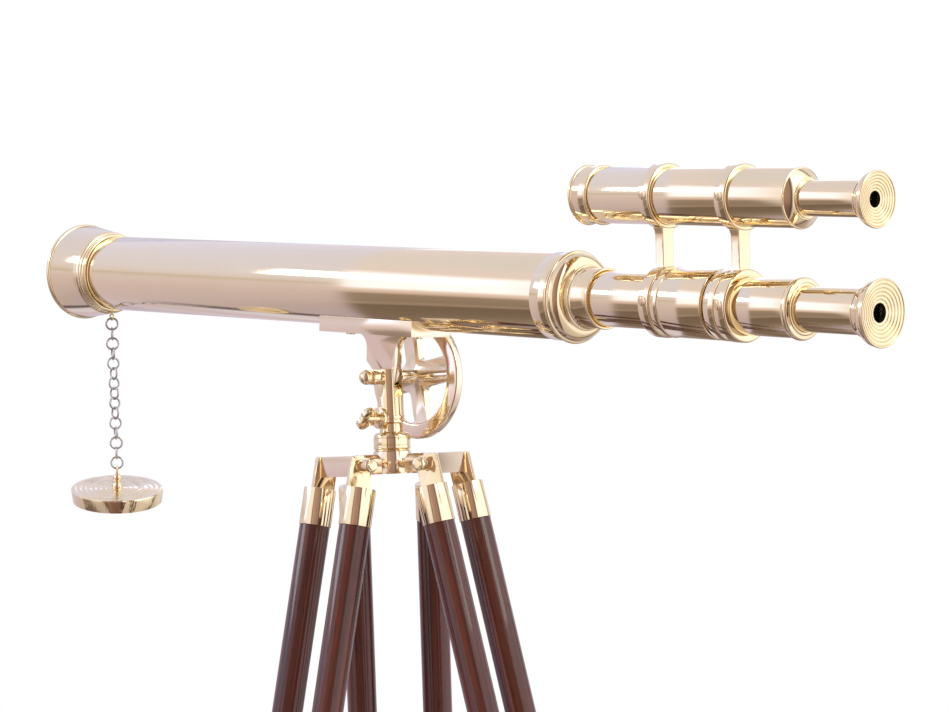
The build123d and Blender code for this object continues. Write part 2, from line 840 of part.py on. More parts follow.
def ring_turn(k):
    """Each ring is square to the last, and the chain twists a little in its middle."""
    twist = chain_twist * sin(radians(180 * k / (chain_rings - 1))) ** 2
    return chain_facing + 90 * (k % 2) + twist


def cap_chain():
    start = first_ring_centre()
    rings = []
    for k in range(chain_rings):
        centre = Pos(start.X, start.Y, start.Z - k * chain_pitch())
        ring = Rot(0, 0, ring_turn(k)) * Rot(90, 0, 0) * Torus(ring_radius, ring_wire_radius)
        rings.append(centre * ring)
    return Compound(rings)


def cap_place():
    """From the cap's own frame (its eye at the origin, the cap below) to the row's."""
    start = first_ring_centre()
    last = start.Z - (chain_rings - 1) * chain_pitch()
    drop = ring_radius - ring_wire_radius - chain_slack - cap_eye_wire + cap_eye_radius
    return (
        Pos(start.X, start.Y, last - drop)
        * Rot(cap_lean_x, cap_lean_y, 0) * Rot(0, 0, ring_turn(chain_rings))
    )


def lens_cap():
    """A shallow plug for the cell's mouth, with turned grooves, a ball knob and an eye."""
    top = -cap_stem - 2 * cap_ball_radius - cap_base_height
    outer = mouth_radius(0) - cap_clearance
    outer_low = mouth_radius(cap_depth) - cap_clearance
    bevel = 1.0
    pitch = (outer - bevel - cap_plain_radius) / cap_grooves
    corners = [(0, top)]
    for k in range(cap_grooves):
        r = cap_plain_radius + k * pitch
        low = top - cap_groove_depth
        corners += [(r, top), (r + cap_groove_width / 2, low), (r + cap_groove_width, top)]
    corners += [
        (outer - bevel, top), (outer, top - bevel), (outer_low, top - cap_depth),
        (outer_low - cap_wall, top - cap_depth), (outer - bevel - cap_wall, top - cap_top),
        (0, top - cap_top),
    ]
    disc = revolve(make_face(Polyline(*[(r, 0, z) for r, z in corners], close=True)), Axis.Z)
    ball_centre = -cap_stem - cap_ball_radius
    base = revolve(make_face([
        Polyline(
            (0, 0, top), (cap_base_radius, 0, top), (cap_base_radius, 0, top + cap_base_height * 0.3),
        ),
        ThreePointArc(
            (cap_base_radius, 0, top + cap_base_height * 0.3),
            (cap_base_radius * 0.86, 0, top + cap_base_height * 0.68),
            (cap_neck_radius, 0, top + cap_base_height),
        ),
        Polyline((cap_neck_radius, 0, top + cap_base_height), (0, 0, top + cap_base_height), (0, 0, top)),
    ]), Axis.Z)
    neck = rod_z(top, ball_centre, cap_neck_radius)
    ball = Pos(0, 0, ball_centre) * Sphere(cap_ball_radius)
    stem = rod_z(ball_centre, -cap_eye_radius, cap_eye_wire * 1.7)
    eye = Rot(90, 0, 0) * Torus(cap_eye_radius, cap_eye_wire)
    return disc + base + neck + ball + stem + eye


# ---------------------------------------------------------------- fork and its screws
def fork_post():
    top = pivot_height + fork_above_pivot
    body = rod_z(fork_bottom, top, fork_radius)
    body += rod_z(fork_bottom, fork_bottom + fork_ring_width, fork_ring_radius)
    groove_low = fork_bottom + fork_ring_bead
    groove_high = fork_bottom + fork_ring_width - fork_ring_bead
    groove = rod_z(groove_low, groove_high, fork_ring_radius + 1)
    body -= groove - rod_z(groove_low, groove_high, fork_ring_radius - fork_ring_groove)
    reach = 2 * fork_ring_radius
    body -= block(-reach, reach, -fork_slot / 2, fork_slot / 2, slot_floor, top + 1)
    for side in (-1, 1):
        flat = block(-reach, reach, fork_cheek, reach, slot_floor, top + 1)
        body -= Rot(0, 0, 90 - 90 * side) * flat
    body -= rod_z(fork_bottom - 1, fork_bottom + socket_depth, spindle_radius + running)
    body -= Pos(0, 0, pivot_height) * rod_y(-reach, reach, pivot_bolt_radius)
    body -= Pos(0, 0, azimuth_screw_height()) * rod_y(-reach, 0, azimuth_screw_radius + running)
    return body


def azimuth_screw_height():
    return fork_bottom + azimuth_screw_rise


def wheel_sides():
    near = wheel_offset - wheel_width / 2
    return near, near + wheel_width


def altitude_bolt():
    """The bolt through the fork, with a barrel and ball for its head."""
    _, far = wheel_sides()
    barrel_end_y = -fork_cheek - knob_barrel
    shank = rod_y(-fork_cheek, far + wheel_bolt_tip, pivot_bolt_radius)
    barrel = rod_y(barrel_end_y, -fork_cheek, knob_radius)
    ball = Pos(0, barrel_end_y - knob_ball_radius + knob_sink, 0) * Sphere(knob_ball_radius)
    return Pos(0, 0, pivot_height) * (shank + barrel + ball)


def altitude_clamp_wheel():
    near, far = wheel_sides()
    middle = wheel_offset
    inner = wheel_radius - wheel_rim_depth
    rim = rod_y(near, far, wheel_radius) - rod_y(near - 1, far + 1, inner)
    rim = fillet(rim.edges().filter_by(GeomType.CIRCLE), wheel_width * 0.28)
    reach = inner + wheel_spoke_bite
    upright = wheel_spoke_width / 2
    level = wheel_arm_width / 2
    plate_near = middle - wheel_plate / 2
    plate_far = middle + wheel_plate / 2
    spokes = block(-upright, upright, plate_near, plate_far, -reach, reach)
    spokes += block(-reach, reach, plate_near, plate_far, -level, level)
    corners = [
        edge for edge in spokes.edges().filter_by(Axis.Y)
        if abs(edge.center().X) < reach / 2 and abs(edge.center().Z) < reach / 2
    ]
    spokes = Rot(0, -wheel_turn, 0) * fillet(corners, wheel_spoke_fillet)
    bar = Pos(0, middle, 0) * rod_x(-reach, reach, wheel_bar_radius)
    hub = rod_y(plate_near, plate_far, wheel_hub_radius)
    boss = rod_y(fork_cheek + slip, far, wheel_boss_radius)
    body = rim + spokes + hub + bar + boss
    body -= rod_y(0, far + 1, pivot_bolt_radius + running)
    return Pos(0, 0, pivot_height) * body


def azimuth_clamp_screw():
    """A wing screw that bears on the spindle."""
    tip = spindle_radius + slip
    flange_near = fork_ring_radius + azimuth_flange_gap
    flange_far = flange_near + azimuth_flange_width
    wing_centre = flange_far + azimuth_wing_reach - azimuth_wing_radius
    shank = rod_y(-wing_centre, -tip, azimuth_screw_radius)
    flange = rod_y(-flange_far, -flange_near, azimuth_flange_radius)
    neck = rod_y(-wing_centre, -flange_far, azimuth_neck_radius)
    half = azimuth_wing_thickness / 2
    wing = block(
        -half, half, -wing_centre, -flange_far - azimuth_wing_radius / 2,
        -azimuth_wing_radius, azimuth_wing_radius,
    )
    for side in (-1, 1):
        lobe = Rot(0, 90, 0) * Cylinder(azimuth_wing_radius, azimuth_wing_thickness)
        wing += Pos(0, -wing_centre, side * azimuth_wing_radius * 0.7) * lobe
    wing = Rot(0, azimuth_wing_turn, 0) * wing
    return Pos(0, 0, azimuth_screw_height()) * (shank + flange + neck + wing)


# ---------------------------------------------------------------- spindle and head
def spindle():
    top = fork_bottom + socket_depth - slip
    tenon_bottom = hub_bottom + tenon_floor
    face = make_face(Polyline(*[(r, 0, z) for r, z in [
        (0, tenon_bottom), (spindle_tenon_radius, tenon_bottom), (spindle_tenon_radius, hub_top),
        (collar_seat_radius, hub_top), (collar_seat_radius, collar_bottom),
        (collar_head_radius, collar_bottom), (collar_head_radius, collar_top - collar_flare),
        (spindle_neck_radius + collar_lip, collar_top),
        (spindle_neck_radius, collar_top + collar_neck_rise),
        (spindle_neck_radius, fork_bottom - slip), (spindle_radius, fork_bottom - slip),
        (spindle_radius, top), (0, top),
    ]], close=True))
    return revolve(face, Axis.Z)


def tripod_head():
    """A hub with three arms, each falling a little to the bar that its leg hangs on."""
    body = rod_z(hub_bottom, hub_top, hub_radius)
    inward = hinge_circle - bar_depth / 2
    outward = hinge_circle + bar_depth / 2
    bar_low = hinge_height - bar_height / 2
    bar_top = bar_low + bar_height
    arm_low = hub_bottom + hub_foot
    arm_top = arm_low + arm_height
    arm_end = inward + bar_corner
    outline = make_face(Polyline(
        (0, 0, arm_low), (arm_end, 0, arm_low), (arm_end, 0, bar_top), (0, 0, arm_top), close=True,
    ))
    arm = extrude(outline, arm_width / 2, both=True, dir=(0, 1, 0))
    top_edges = [
        edge for edge in arm.edges()
        if edge.length > inward / 2 and edge.center().Z > (arm_low + arm_top) / 2
    ]
    arm = chamfer(top_edges, arm_chamfer)
    bar = block(inward, outward, -bar_half_length, bar_half_length, bar_low, bar_top)
    bar = fillet(bar.edges().filter_by(Axis.Z), bar_corner)
    hole = rod_y(-2 * bar_half_length, 2 * bar_half_length, hinge_bolt_radius)
    bar -= Pos(hinge_circle, 0, hinge_height) * hole
    for azimuth in leg_azimuths:
        body += Rot(0, 0, azimuth) * (arm + bar)
    body -= rod_z(hub_bottom + tenon_floor, hub_top + 1, spindle_tenon_radius)
    return body


def nut_side(azimuth_index):
    """Which end of the hinge bolt carries the nut: +1 or -1 along the leg's own Y."""
    return 1 if azimuth_index == 2 else -1


def bolt_stations():
    strap_out = bar_half_length + strap_gap + strap_thickness
    nut_start = strap_out + nut_gap
    return strap_out, nut_start, nut_start + nut_length


def leg_hinge_bolts():
    strap_out, _, nut_end = bolt_stations()
    bolts = []
    for k, azimuth in enumerate(leg_azimuths):
        side = nut_side(k)
        shank = rod_y(-strap_out - slip, nut_end + bolt_tip, hinge_bolt_radius)
        head = rod_y(-strap_out - slip - bolt_head_thickness, -strap_out - slip, bolt_head_radius)
        bolt = shank + head
        if side < 0:
            bolt = Rot(0, 0, 180) * bolt
        bolts.append(Rot(0, 0, azimuth) * Pos(hinge_circle, 0, hinge_height) * bolt)
    return Compound(bolts)


def hinge_nut(k):
    """A barrel nut with rounded ends, on one hinge bolt."""
    _, start, end = bolt_stations()
    bore = hinge_bolt_radius + running
    face = make_face(Polyline(*[(r, y, 0) for r, y in [
        (bore, start), (nut_radius - nut_dome, start), (nut_radius, start + nut_dome),
        (nut_radius, end - nut_dome), (nut_radius - nut_dome, end), (bore, end),
    ]], close=True))
    nut = revolve(face, Axis.Y)
    if nut_side(k) < 0:
        nut = Rot(0, 0, 180) * nut
    return Rot(0, 0, leg_azimuths[k]) * Pos(hinge_circle, 0, hinge_height) * nut


# ---------------------------------------------------------------- legs
def upper_rod_top():
    return -ferrule_top - ferrule_cap


def upper_rod_bottom():
    return upper_rod_top() - upper_rod_length


def ferrule_end():
    return -ferrule_top - ferrule_length


def leg_ferrules(azimuth):
    """Two castings, each a flat strap on the hinge bolt and a socket for a rod."""
    solids = []
    socket_end = ferrule_end()
    strap_in = bar_half_length + strap_gap
    for side in (-1, 1):
        y_in = side * strap_in
        y_out = side * (strap_in + strap_thickness)
        low_y = min(y_in, y_out)
        high_y = max(y_in, y_out)
        middle_y = side * rod_spacing_half
        strap = block(
            -strap_width / 2, strap_width / 2, low_y, high_y, -ferrule_top - strap_corner, strap_rise,
        )
        strap = fillet(strap.edges().filter_by(Axis.Y).sort_by(Axis.Z)[-2:], strap_corner)
        socket = Pos(0, middle_y, 0) * rod_z(socket_end, -ferrule_top, ferrule_radius)
        casting = strap + socket
        casting -= Pos(0, middle_y, 0) * rod_z(socket_end - 1, upper_rod_top(), rod_tenon_radius)
        casting -= rod_y(low_y - 1, high_y + 1, hinge_bolt_radius + running)
        solids.append(leg_place(azimuth) * casting)
    return Compound(solids)


def leg_rods(azimuth):
    """A pair of round rods, each turned down where it enters its ferrule."""
    rods = []
    rod = rod_z(upper_rod_bottom(), ferrule_end(), rod_radius)
    rod += rod_z(ferrule_end(), upper_rod_top(), rod_tenon_radius)
    for side in (-1, 1):
        rods.append(leg_place(azimuth) * Pos(0, side * rod_spacing_half, 0) * rod)
    return Compound(rods)


def yoke_top():
    return upper_rod_bottom() + yoke_overlap


def bridge(low, high, side_radius, centre_radius, web_half):
    """Three round bosses side by side, joined by webs."""
    body = rod_z(low, high, centre_radius)
    for side in (-1, 1):
        body += Pos(0, side * rod_spacing_half, 0) * rod_z(low, high, side_radius)
    return body + block(-web_half, web_half, -rod_spacing_half, rod_spacing_half, low, high)


def leg_yoke(azimuth):
    """Holds the lower ends of the rod pair and guides the lower leg between them."""
    top = yoke_top()
    low = top - yoke_height
    outer = rod_radius + yoke_wall
    body = bridge(low, top, outer, outer + yoke_boss, yoke_web)
    for side in (-1, 1):
        body -= Pos(0, side * rod_spacing_half, 0) * rod_z(upper_rod_bottom(), top + 1, rod_radius)
    body -= rod_z(low - 1, top + 1, rod_radius + running)
    middle = (low + top) / 2
    body -= Pos(0, 0, middle) * rod_x(0, 2 * outer, clamp_screw_radius + running)
    return leg_place(azimuth) * body


def clamp_screw(azimuth):
    """The thumb screw that clamps the lower leg."""
    middle = yoke_top() - yoke_height / 2
    tip = rod_radius + slip
    seat = rod_radius + yoke_wall + yoke_boss + slip
    neck_end = seat + clamp_neck
    knob_end = neck_end + clamp_knob_length
    screw = rod_x(tip, neck_end, clamp_screw_radius)
    screw += rod_x(seat + yoke_boss, neck_end, clamp_collar_radius)
    inner = clamp_knob_radius - clamp_knob_chamfer
    knob = turned([
        (neck_end, 0), (neck_end, inner), (neck_end + clamp_knob_chamfer, clamp_knob_radius),
        (knob_end - clamp_knob_chamfer, clamp_knob_radius), (knob_end, inner), (knob_end, 0),
    ])
    return leg_place(azimuth) * Pos(0, 0, middle) * (screw + knob)


def slider_bottom():
    return yoke_top() + slider_above_yoke


def leg_slider(azimuth):
    """Rides on the rod pair and holds the upper end of the lower leg."""
    low = slider_bottom()
    high = low + slider_height
    outer = rod_radius + slider_wall
    body = bridge(low, high, outer, outer, slider_web)
    for side in (-1, 1):
        body -= Pos(0, side * rod_spacing_half, 0) * rod_z(low - 1, high + 1, rod_radius + running)
    body -= rod_z(low - 1, high - slider_crown, rod_radius)
    return leg_place(azimuth) * body


def foot_top():
    return -leg_length + foot_length


def lower_rod(azimuth):
    """The sliding rod, turned down where it enters the foot."""
    low = foot_top() - foot_ferrule + foot_socket_floor
    high = slider_bottom() + slider_height - slider_crown
    rod = rod_z(foot_top(), high, rod_radius) + rod_z(low, foot_top(), rod_tenon_radius)
    return leg_place(azimuth) * rod


def leg_foot(azimuth):
    """A turned ferrule with a tip, cut level where it meets the floor."""
    top = foot_top()
    shell_low = top - foot_ferrule
    below = -leg_length - foot_tip_radius
    socket_floor = shell_low + foot_socket_floor
    face = make_face(Polyline(*[(r, 0, z) for r, z in [
        (rod_tenon_radius, top), (ferrule_radius, top), (ferrule_radius, shell_low),
        (ferrule_radius - foot_shoulder, shell_low - foot_shoulder),
        (foot_tip_radius, shell_low - foot_taper), (foot_tip_radius, below), (0, below),
        (0, socket_floor), (rod_tenon_radius, socket_floor),
    ]], close=True))
    foot = leg_place(azimuth) * revolve(face, Axis.Z)
    floor_reach = 2 * hinge_circle + leg_length
    return foot & block(-floor_reach, floor_reach, -floor_reach, floor_reach, 0, hinge_height)


# ---------------------------------------------------------------- all nodes
telescope = {
    "main_tube": main_tube, "objective_cell": objective_cell, "objective_lenses": objective_lenses,
    "lens_retaining_ring": lens_retaining_ring, "rear_collar": rear_collar, "saddle": saddle,
    "saddle_screws": saddle_screws, "chain_eyelet": chain_eyelet,
    "first_draw_tube": first_draw_tube, "draw_bands": draw_bands, "draw_sleeve": draw_sleeve,
    "front_bracket": lambda: bracket(front_bracket), "rear_bracket": lambda: bracket(rear_bracket),
    "bracket_screws": bracket_screws, "eyepiece_barrel": eyepiece_barrel,
    "barrel_end_ring": barrel_end_ring, "erector_lenses": erector_lenses,
    "eyepiece_draw_tube": eyepiece_draw_tube, "eyepiece_cup": eyepiece_cup,
    "eyepiece_lenses": eyepiece_lenses,
}
finder = {
    "finder_tube": finder_tube, "finder_front_cap": finder_front_cap,
    "finder_objective_lens": finder_objective_lens, "finder_end_ring": finder_end_ring,
    "finder_eyepiece_tube": finder_eyepiece_tube, "finder_eyepiece_cup": finder_eyepiece_cup,
    "finder_eye_lens": finder_eye_lens,
}
for name, make in telescope.items():
    parts[name] = scope_place * make()
for name, make in finder.items():
    parts[name] = scope_place * Pos(0, 0, finder_rise) * make()

parts["cap_chain"] = cap_chain()
parts["lens_cap"] = cap_place() * lens_cap()
parts["fork_post"] = fork_post()
parts["altitude_bolt"] = altitude_bolt()
parts["altitude_clamp_wheel"] = altitude_clamp_wheel()
parts["azimuth_clamp_screw"] = azimuth_clamp_screw()
parts["spindle"] = spindle()
parts["tripod_head"] = tripod_head()
parts["leg_hinge_bolts"] = leg_hinge_bolts()
for k, azimuth in enumerate(leg_azimuths):
    leg = k + 1
    parts[f"hinge_nut_{leg}"] = hinge_nut(k)
    parts[f"leg_{leg}_ferrules"] = leg_ferrules(azimuth)
    parts[f"leg_{leg}_rods"] = leg_rods(azimuth)
    parts[f"leg_{leg}_yoke"] = leg_yoke(azimuth)
    parts[f"clamp_screw_{leg}"] = clamp_screw(azimuth)
    parts[f"leg_{leg}_slider"] = leg_slider(azimuth)
    parts[f"leg_{leg}_lower_rod"] = lower_rod(azimuth)
    parts[f"leg_{leg}_foot"] = leg_foot(azimuth)

os.makedirs("parts", exist_ok=True)
for name, shape in parts.items():
    export_step(shape, f"parts/{name}.step")
print(len(parts), "nodes written")
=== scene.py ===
# %% [markdown]
# # A brass telescope on a wooden tripod
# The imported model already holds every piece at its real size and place. This script
# dresses it: the visible brass is modelled again with smooth turned surfaces and soft
# edges, each surface gets its finish, and a plain pale studio is set up.

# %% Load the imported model
import json
from math import asin, cos, degrees, pi, radians, sin, sqrt

import bpy
from mathutils import Matrix, Vector


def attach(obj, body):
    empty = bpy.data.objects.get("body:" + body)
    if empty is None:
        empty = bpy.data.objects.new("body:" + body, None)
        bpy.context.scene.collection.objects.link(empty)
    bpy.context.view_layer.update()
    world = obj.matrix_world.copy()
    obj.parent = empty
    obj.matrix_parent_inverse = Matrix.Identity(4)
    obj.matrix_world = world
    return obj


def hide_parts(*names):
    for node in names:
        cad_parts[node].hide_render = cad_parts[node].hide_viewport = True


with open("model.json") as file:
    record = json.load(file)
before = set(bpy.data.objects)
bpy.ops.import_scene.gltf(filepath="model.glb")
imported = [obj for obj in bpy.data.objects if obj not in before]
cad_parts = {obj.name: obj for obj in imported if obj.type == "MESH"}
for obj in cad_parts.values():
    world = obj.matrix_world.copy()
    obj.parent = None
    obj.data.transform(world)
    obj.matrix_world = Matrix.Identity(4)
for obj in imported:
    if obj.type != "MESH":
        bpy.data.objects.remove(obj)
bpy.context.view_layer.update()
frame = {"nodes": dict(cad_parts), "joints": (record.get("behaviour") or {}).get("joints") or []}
joints = {joint["name"]: joint for joint in frame["joints"]}
print("nodes:", len(frame["nodes"]), "joints:", len(joints))

# %% [markdown]
# ## Where the telescope lies
# The telescope is tilted a little, so its pieces are easiest to think about in a frame
# of their own: the altitude axis at the origin and the tube along +X. One matrix takes
# that frame to the model's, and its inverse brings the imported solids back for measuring.

# %% The telescope's own frame
tube_direction = Vector(joints["draw_tube_slide"]["axis"]).normalized()
tilt = asin(-tube_direction.z)
pivot = Vector(joints["altitude"]["pos_m"])
scope_frame = Matrix.Translation(pivot) @ Matrix.Rotation(tilt, 4, "Y")
scope_inverse = scope_frame.inverted()


def points_in(node, inverse):
    """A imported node's corners, in another frame."""
    return [inverse @ corner.co for corner in frame["nodes"][node].data.vertices]


def axis_height(node):
    """How high a round node's centre line lies above the altitude axis."""
    heights = [point.z for point in points_in(node, scope_inverse)]
    return (min(heights) + max(heights)) / 2


tube_rise = axis_height("main_tube")
finder_rise = axis_height("finder_tube")
print("tilt:", round(degrees(tilt), 2), "tube rise:", round(tube_rise, 4), "finder:", round(finder_rise, 4))

# %% [markdown]
# ## Camera
# A long lens from far away keeps the tubes almost parallel, and the camera stands to the
# right of the eyepiece, a little below the telescope, so the tripod's head is seen level.

# %% Camera
camera_offset = Vector((1.9212, -1.7265, -0.1416))
camera_turn = radians(46.3)
camera_rise = radians(1.66)
camera_roll = radians(-2.30)
camera_lens = 106.2

crossing = pivot + Vector((0, 0, tube_rise / cos(tilt)))
camera_data = bpy.data.cameras.new("camera")
camera_data.lens = camera_lens
camera_data.sensor_width = 36
camera = bpy.data.objects.new("camera", camera_data)
bpy.context.scene.collection.objects.link(camera)
camera.matrix_world = (
    Matrix.Translation(crossing + camera_offset)
    @ Matrix.Rotation(camera_turn, 4, "Z")
    @ Matrix.Rotation(radians(90) + camera_rise, 4, "X")
    @ Matrix.Rotation(camera_roll, 4, "Z")
)
bpy.context.scene.camera = camera
bpy.context.scene.view_settings.view_transform = "Standard"
print("camera at", [round(value, 3) for value in camera.location])

# %% [markdown]
# ## Turned brass
# Nearly all of this object was made on a lathe, so one helper makes most of it: an outline
# of (station, radius) points is walked with extrude and then spun round the X axis. The
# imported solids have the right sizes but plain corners. Spinning new ones gives an even mesh
# for mirror-like brass, with small beads and hollows. A Bevel then breaks every hard corner.

# %% Lathe
mm = 0.001
turn_steps = 128
edge_break = 0.25 * mm
smooth_angle = radians(34)


def start_clean():
    """Leaves nothing selected, so that an operator only acts on the new piece."""
    if bpy.context.mode != "OBJECT":
        bpy.ops.object.mode_set(mode="OBJECT")
    bpy.ops.object.select_all(action="DESELECT")


def select_only(piece):
    """Makes one object selected and active."""
    start_clean()
    piece.select_set(True)
    bpy.context.view_layer.objects.active = piece


def apply_bevel(piece, width=edge_break, segments=2, angle=30):
    """Rounds the hard edges and shades the rest smooth."""
    select_only(piece)
    bevel = piece.modifiers.new("edges", "BEVEL")
    bevel.width = width
    bevel.segments = segments
    bevel.limit_method = "ANGLE"
    bevel.angle_limit = radians(angle)
    bpy.ops.object.modifier_apply(modifier=bevel.name)
    bpy.ops.object.shade_smooth_by_angle(angle=smooth_angle)


def settle(piece, place):
    """Moves a finished piece to its place and leaves its object at the origin."""
    select_only(piece)
    piece.matrix_world = place
    bpy.ops.object.transform_apply(location=True, rotation=True, scale=True)


def turned(name, outline, place, bevel=edge_break):
    """Spins a closed outline of (station, radius) points, in millimetres, about X."""
    start_clean()
    bpy.ops.mesh.primitive_plane_add(size=mm)
    piece = bpy.context.object
    piece.name = name
    bpy.ops.object.mode_set(mode="EDIT")
    bpy.ops.mesh.merge(type="CENTER")
    corners = [Vector((station * mm, 0, radius * mm)) for station, radius in outline]
    bpy.ops.transform.translate(value=corners[0])
    for last, corner in zip(corners, corners[1:] + corners[:1]):
        bpy.ops.mesh.extrude_region_move(TRANSFORM_OT_translate={"value": corner - last})
    bpy.ops.mesh.select_all(action="SELECT")
    bpy.ops.mesh.remove_doubles(threshold=0.01 * mm)
    bpy.ops.mesh.spin(steps=turn_steps, angle=2 * pi, center=(0, 0, 0), axis=(1, 0, 0))
    bpy.ops.mesh.select_all(action="SELECT")
    bpy.ops.mesh.remove_doubles(threshold=0.01 * mm)
    bpy.ops.mesh.normals_make_consistent(inside=False)
    bpy.ops.object.mode_set(mode="OBJECT")
    apply_bevel(piece, bevel)
    settle(piece, place)
    return piece


def curve(start, end, bend, count=8):
    """Points of a quarter-round from start to end; bend is "out" (swelling) or "in"."""
    length = end[0] - start[0]
    height = end[1] - start[1]
    points = []
    for k in range(count + 1):
        angle = pi / 2 * k / count
        if bend == "out":
            along, across = sin(angle), 1 - cos(angle)
        else:
            along, across = 1 - cos(angle), sin(angle)
        points.append((start[0] + length * along, start[1] + height * across))
    return points


def bead(start, width, radius, rise, count=10):
    """Points of a half-round bead that starts at a station and stands on a radius."""
    points = []
    for k in range(count + 1):
        angle = pi * k / count
        points.append((start + width * (1 - cos(angle)) / 2, radius + rise * sin(angle)))
    return points


def joined(name, *parts):
    """Joins pieces into the first of them."""
    select_only(parts[0])
    for part in parts[1:]:
        part.select_set(True)
    bpy.ops.object.join()
    parts[0].name = name
    return parts[0]


print("lathe:", turn_steps, "steps round, edges broken by", round(edge_break / mm, 2), "mm")

# %% [markdown]
# ## Measuring and dressing
# Every piece takes its ends from the imported node that it stands for. `span` gives them, in
# millimetres along the piece's own axis, with its largest radius. An axis is one matrix: it
# takes the lathe's X axis to where the piece lies. `dress` then gives the piece its body
# and hides the nodes that it stands for.

# %% Measuring and dressing
main_axis = scope_frame @ Matrix.Translation((0, 0, tube_rise))
finder_axis = scope_frame @ Matrix.Translation((0, 0, finder_rise))
floor_axis = Matrix.Rotation(radians(-90), 4, "Y")
pieces = []


def span(node, axis):
    """A node's first and last station along an axis, and its largest radius about it."""
    points = points_in(node, axis.inverted())
    stations = [point.x for point in points]
    radius = max(sqrt(point.y ** 2 + point.z ** 2) for point in points)
    return min(stations) / mm, max(stations) / mm, radius / mm


def dress(piece, body, *nodes, slot="polished_brass"):
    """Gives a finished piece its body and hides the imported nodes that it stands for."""
    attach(piece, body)
    if nodes:
        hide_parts(*nodes)
    pieces.append(piece)
    return piece


def pipe(name, node, axis, wall, body):
    """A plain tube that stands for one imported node."""
    start, end, radius = span(node, axis)
    outline = [(start, radius - wall), (start, radius), (end, radius), (end, radius - wall)]
    return dress(turned(name, outline, axis), body, node)


print("main tube spans", [round(value, 1) for value in span("main_tube", main_axis)])

# %% [markdown]
# ## Main tube and objective cell
# The main tube is a plain pipe with a thin wall. The cell is the turned casting that holds
# the lens. From its back it has a thin rib, a narrow groove, a rounded shoulder, a hollow, a
# cone and a rolled rim. Spinning its whole section at once keeps the rings concentric.

# %% Main tube
tube_wall = 1.6
pipe("tube_skin", "main_tube", main_axis, tube_wall, "telescope")
print("tube wall:", tube_wall, "mm")

# %% Objective cell
cell_front, cell_back, rim_radius = span("objective_cell", main_axis)
tube_radius = span("main_tube", main_axis)[2]
lens_radius = span("objective_lenses", main_axis)[2]


def forward(points):
    """Turns distances ahead of the cell's back edge into stations."""
    return [(cell_back - distance, radius) for distance, radius in points]


cell_length = cell_back - cell_front
cone_start = (13.0, 42.6)
cone_end = (cell_length - 6.6, 47.8)
lens_shelf = cell_length - 16.0
cell_outline = forward(
    [(14.0, tube_radius), (0.0, tube_radius), (0.0, 38.5)]
    + bead(0.1, 1.9, 38.7, 0.9)
    + [(2.3, 38.3), (3.6, 38.3)]
    + curve((3.7, 39.4), (6.0, 41.0), "out", 6)
    + [(7.4, 41.2)]
    + curve((7.6, 41.2), cone_start, "in", 6)
    + [cone_end, (cell_length - 6.2, 47.1), (cell_length - 5.2, 47.0)]
    + bead(cell_length - 5.0, 5.0, rim_radius - 1.7, 1.7)
    + [
        (cell_length - 1.0, rim_radius - 2.2), (lens_shelf, rim_radius - 3.9),
        (lens_shelf, lens_radius + 0.1), (17.0, lens_radius + 0.1), (17.0, tube_radius - 3.0),
        (14.0, tube_radius - 3.0),
    ]
)
dress(turned("objective_cell_turned", cell_outline, main_axis), "telescope", "objective_cell")
print("cell:", round(cell_length, 1), "mm long,", len(cell_outline), "points in its outline")

# %% [markdown]
# ## Collar
# Behind the main tube comes a sleeve with a rolled rim, a domed shoulder and a short stub
# that guides the draw tube. Each small step gets its own quarter-round or bead.

# %% Collar
collar_start, stub_end, collar_radius = span("rear_collar", main_axis)
base = span("main_tube", main_axis)[1]
draw_radius = span("first_draw_tube", main_axis)[2]
bore = draw_radius + 0.06
stub_radius = draw_radius + 2.0
shoulder_foot = (base + 8.4, 28.4)
collar_outline = (
    [(collar_start, bore), (collar_start, stub_radius), (base, stub_radius), (base - 0.2, tube_radius)]
    + [(base - 23.0, tube_radius), (base - 23.0, 38.2), (base - 5.8, 38.3)]
    + [(base - 5.4, 37.7), (base - 4.5, 37.7)]
    + bead(base - 4.3, 3.6, 38.2, collar_radius - 38.2)
    + [(base - 0.3, 38.0), (base + 0.3, 37.9)]
    + curve((base + 0.3, 37.9), shoulder_foot, "out", 12)
    + [(base + 8.8, 27.4), (base + 9.6, 27.4)]
    + bead(base + 9.8, 2.2, 27.2, 1.3)
    + curve((base + 12.2, 27.2), (base + 16.5, stub_radius), "in", 6)
    + [(stub_end - 2.8, stub_radius)]
    + bead(stub_end - 2.6, 2.6, stub_radius - 0.1, 0.9)
    + [(stub_end, stub_radius - 1.0), (stub_end - 1.0, bore)]
)
dress(turned("rear_collar_turned", collar_outline, main_axis), "telescope", "rear_collar")
print("collar: radius", round(collar_radius, 1), "mm, stub ends at", round(stub_end, 1))

# %% [markdown]
# ## Draw tube, drum and bands
# The draw tube slides in the stub. On its far end are the finder's two brackets, with a wide
# drum and two plain bands between them, and narrow recesses at the joints. The two bands are
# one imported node, so they are turned apart and joined.

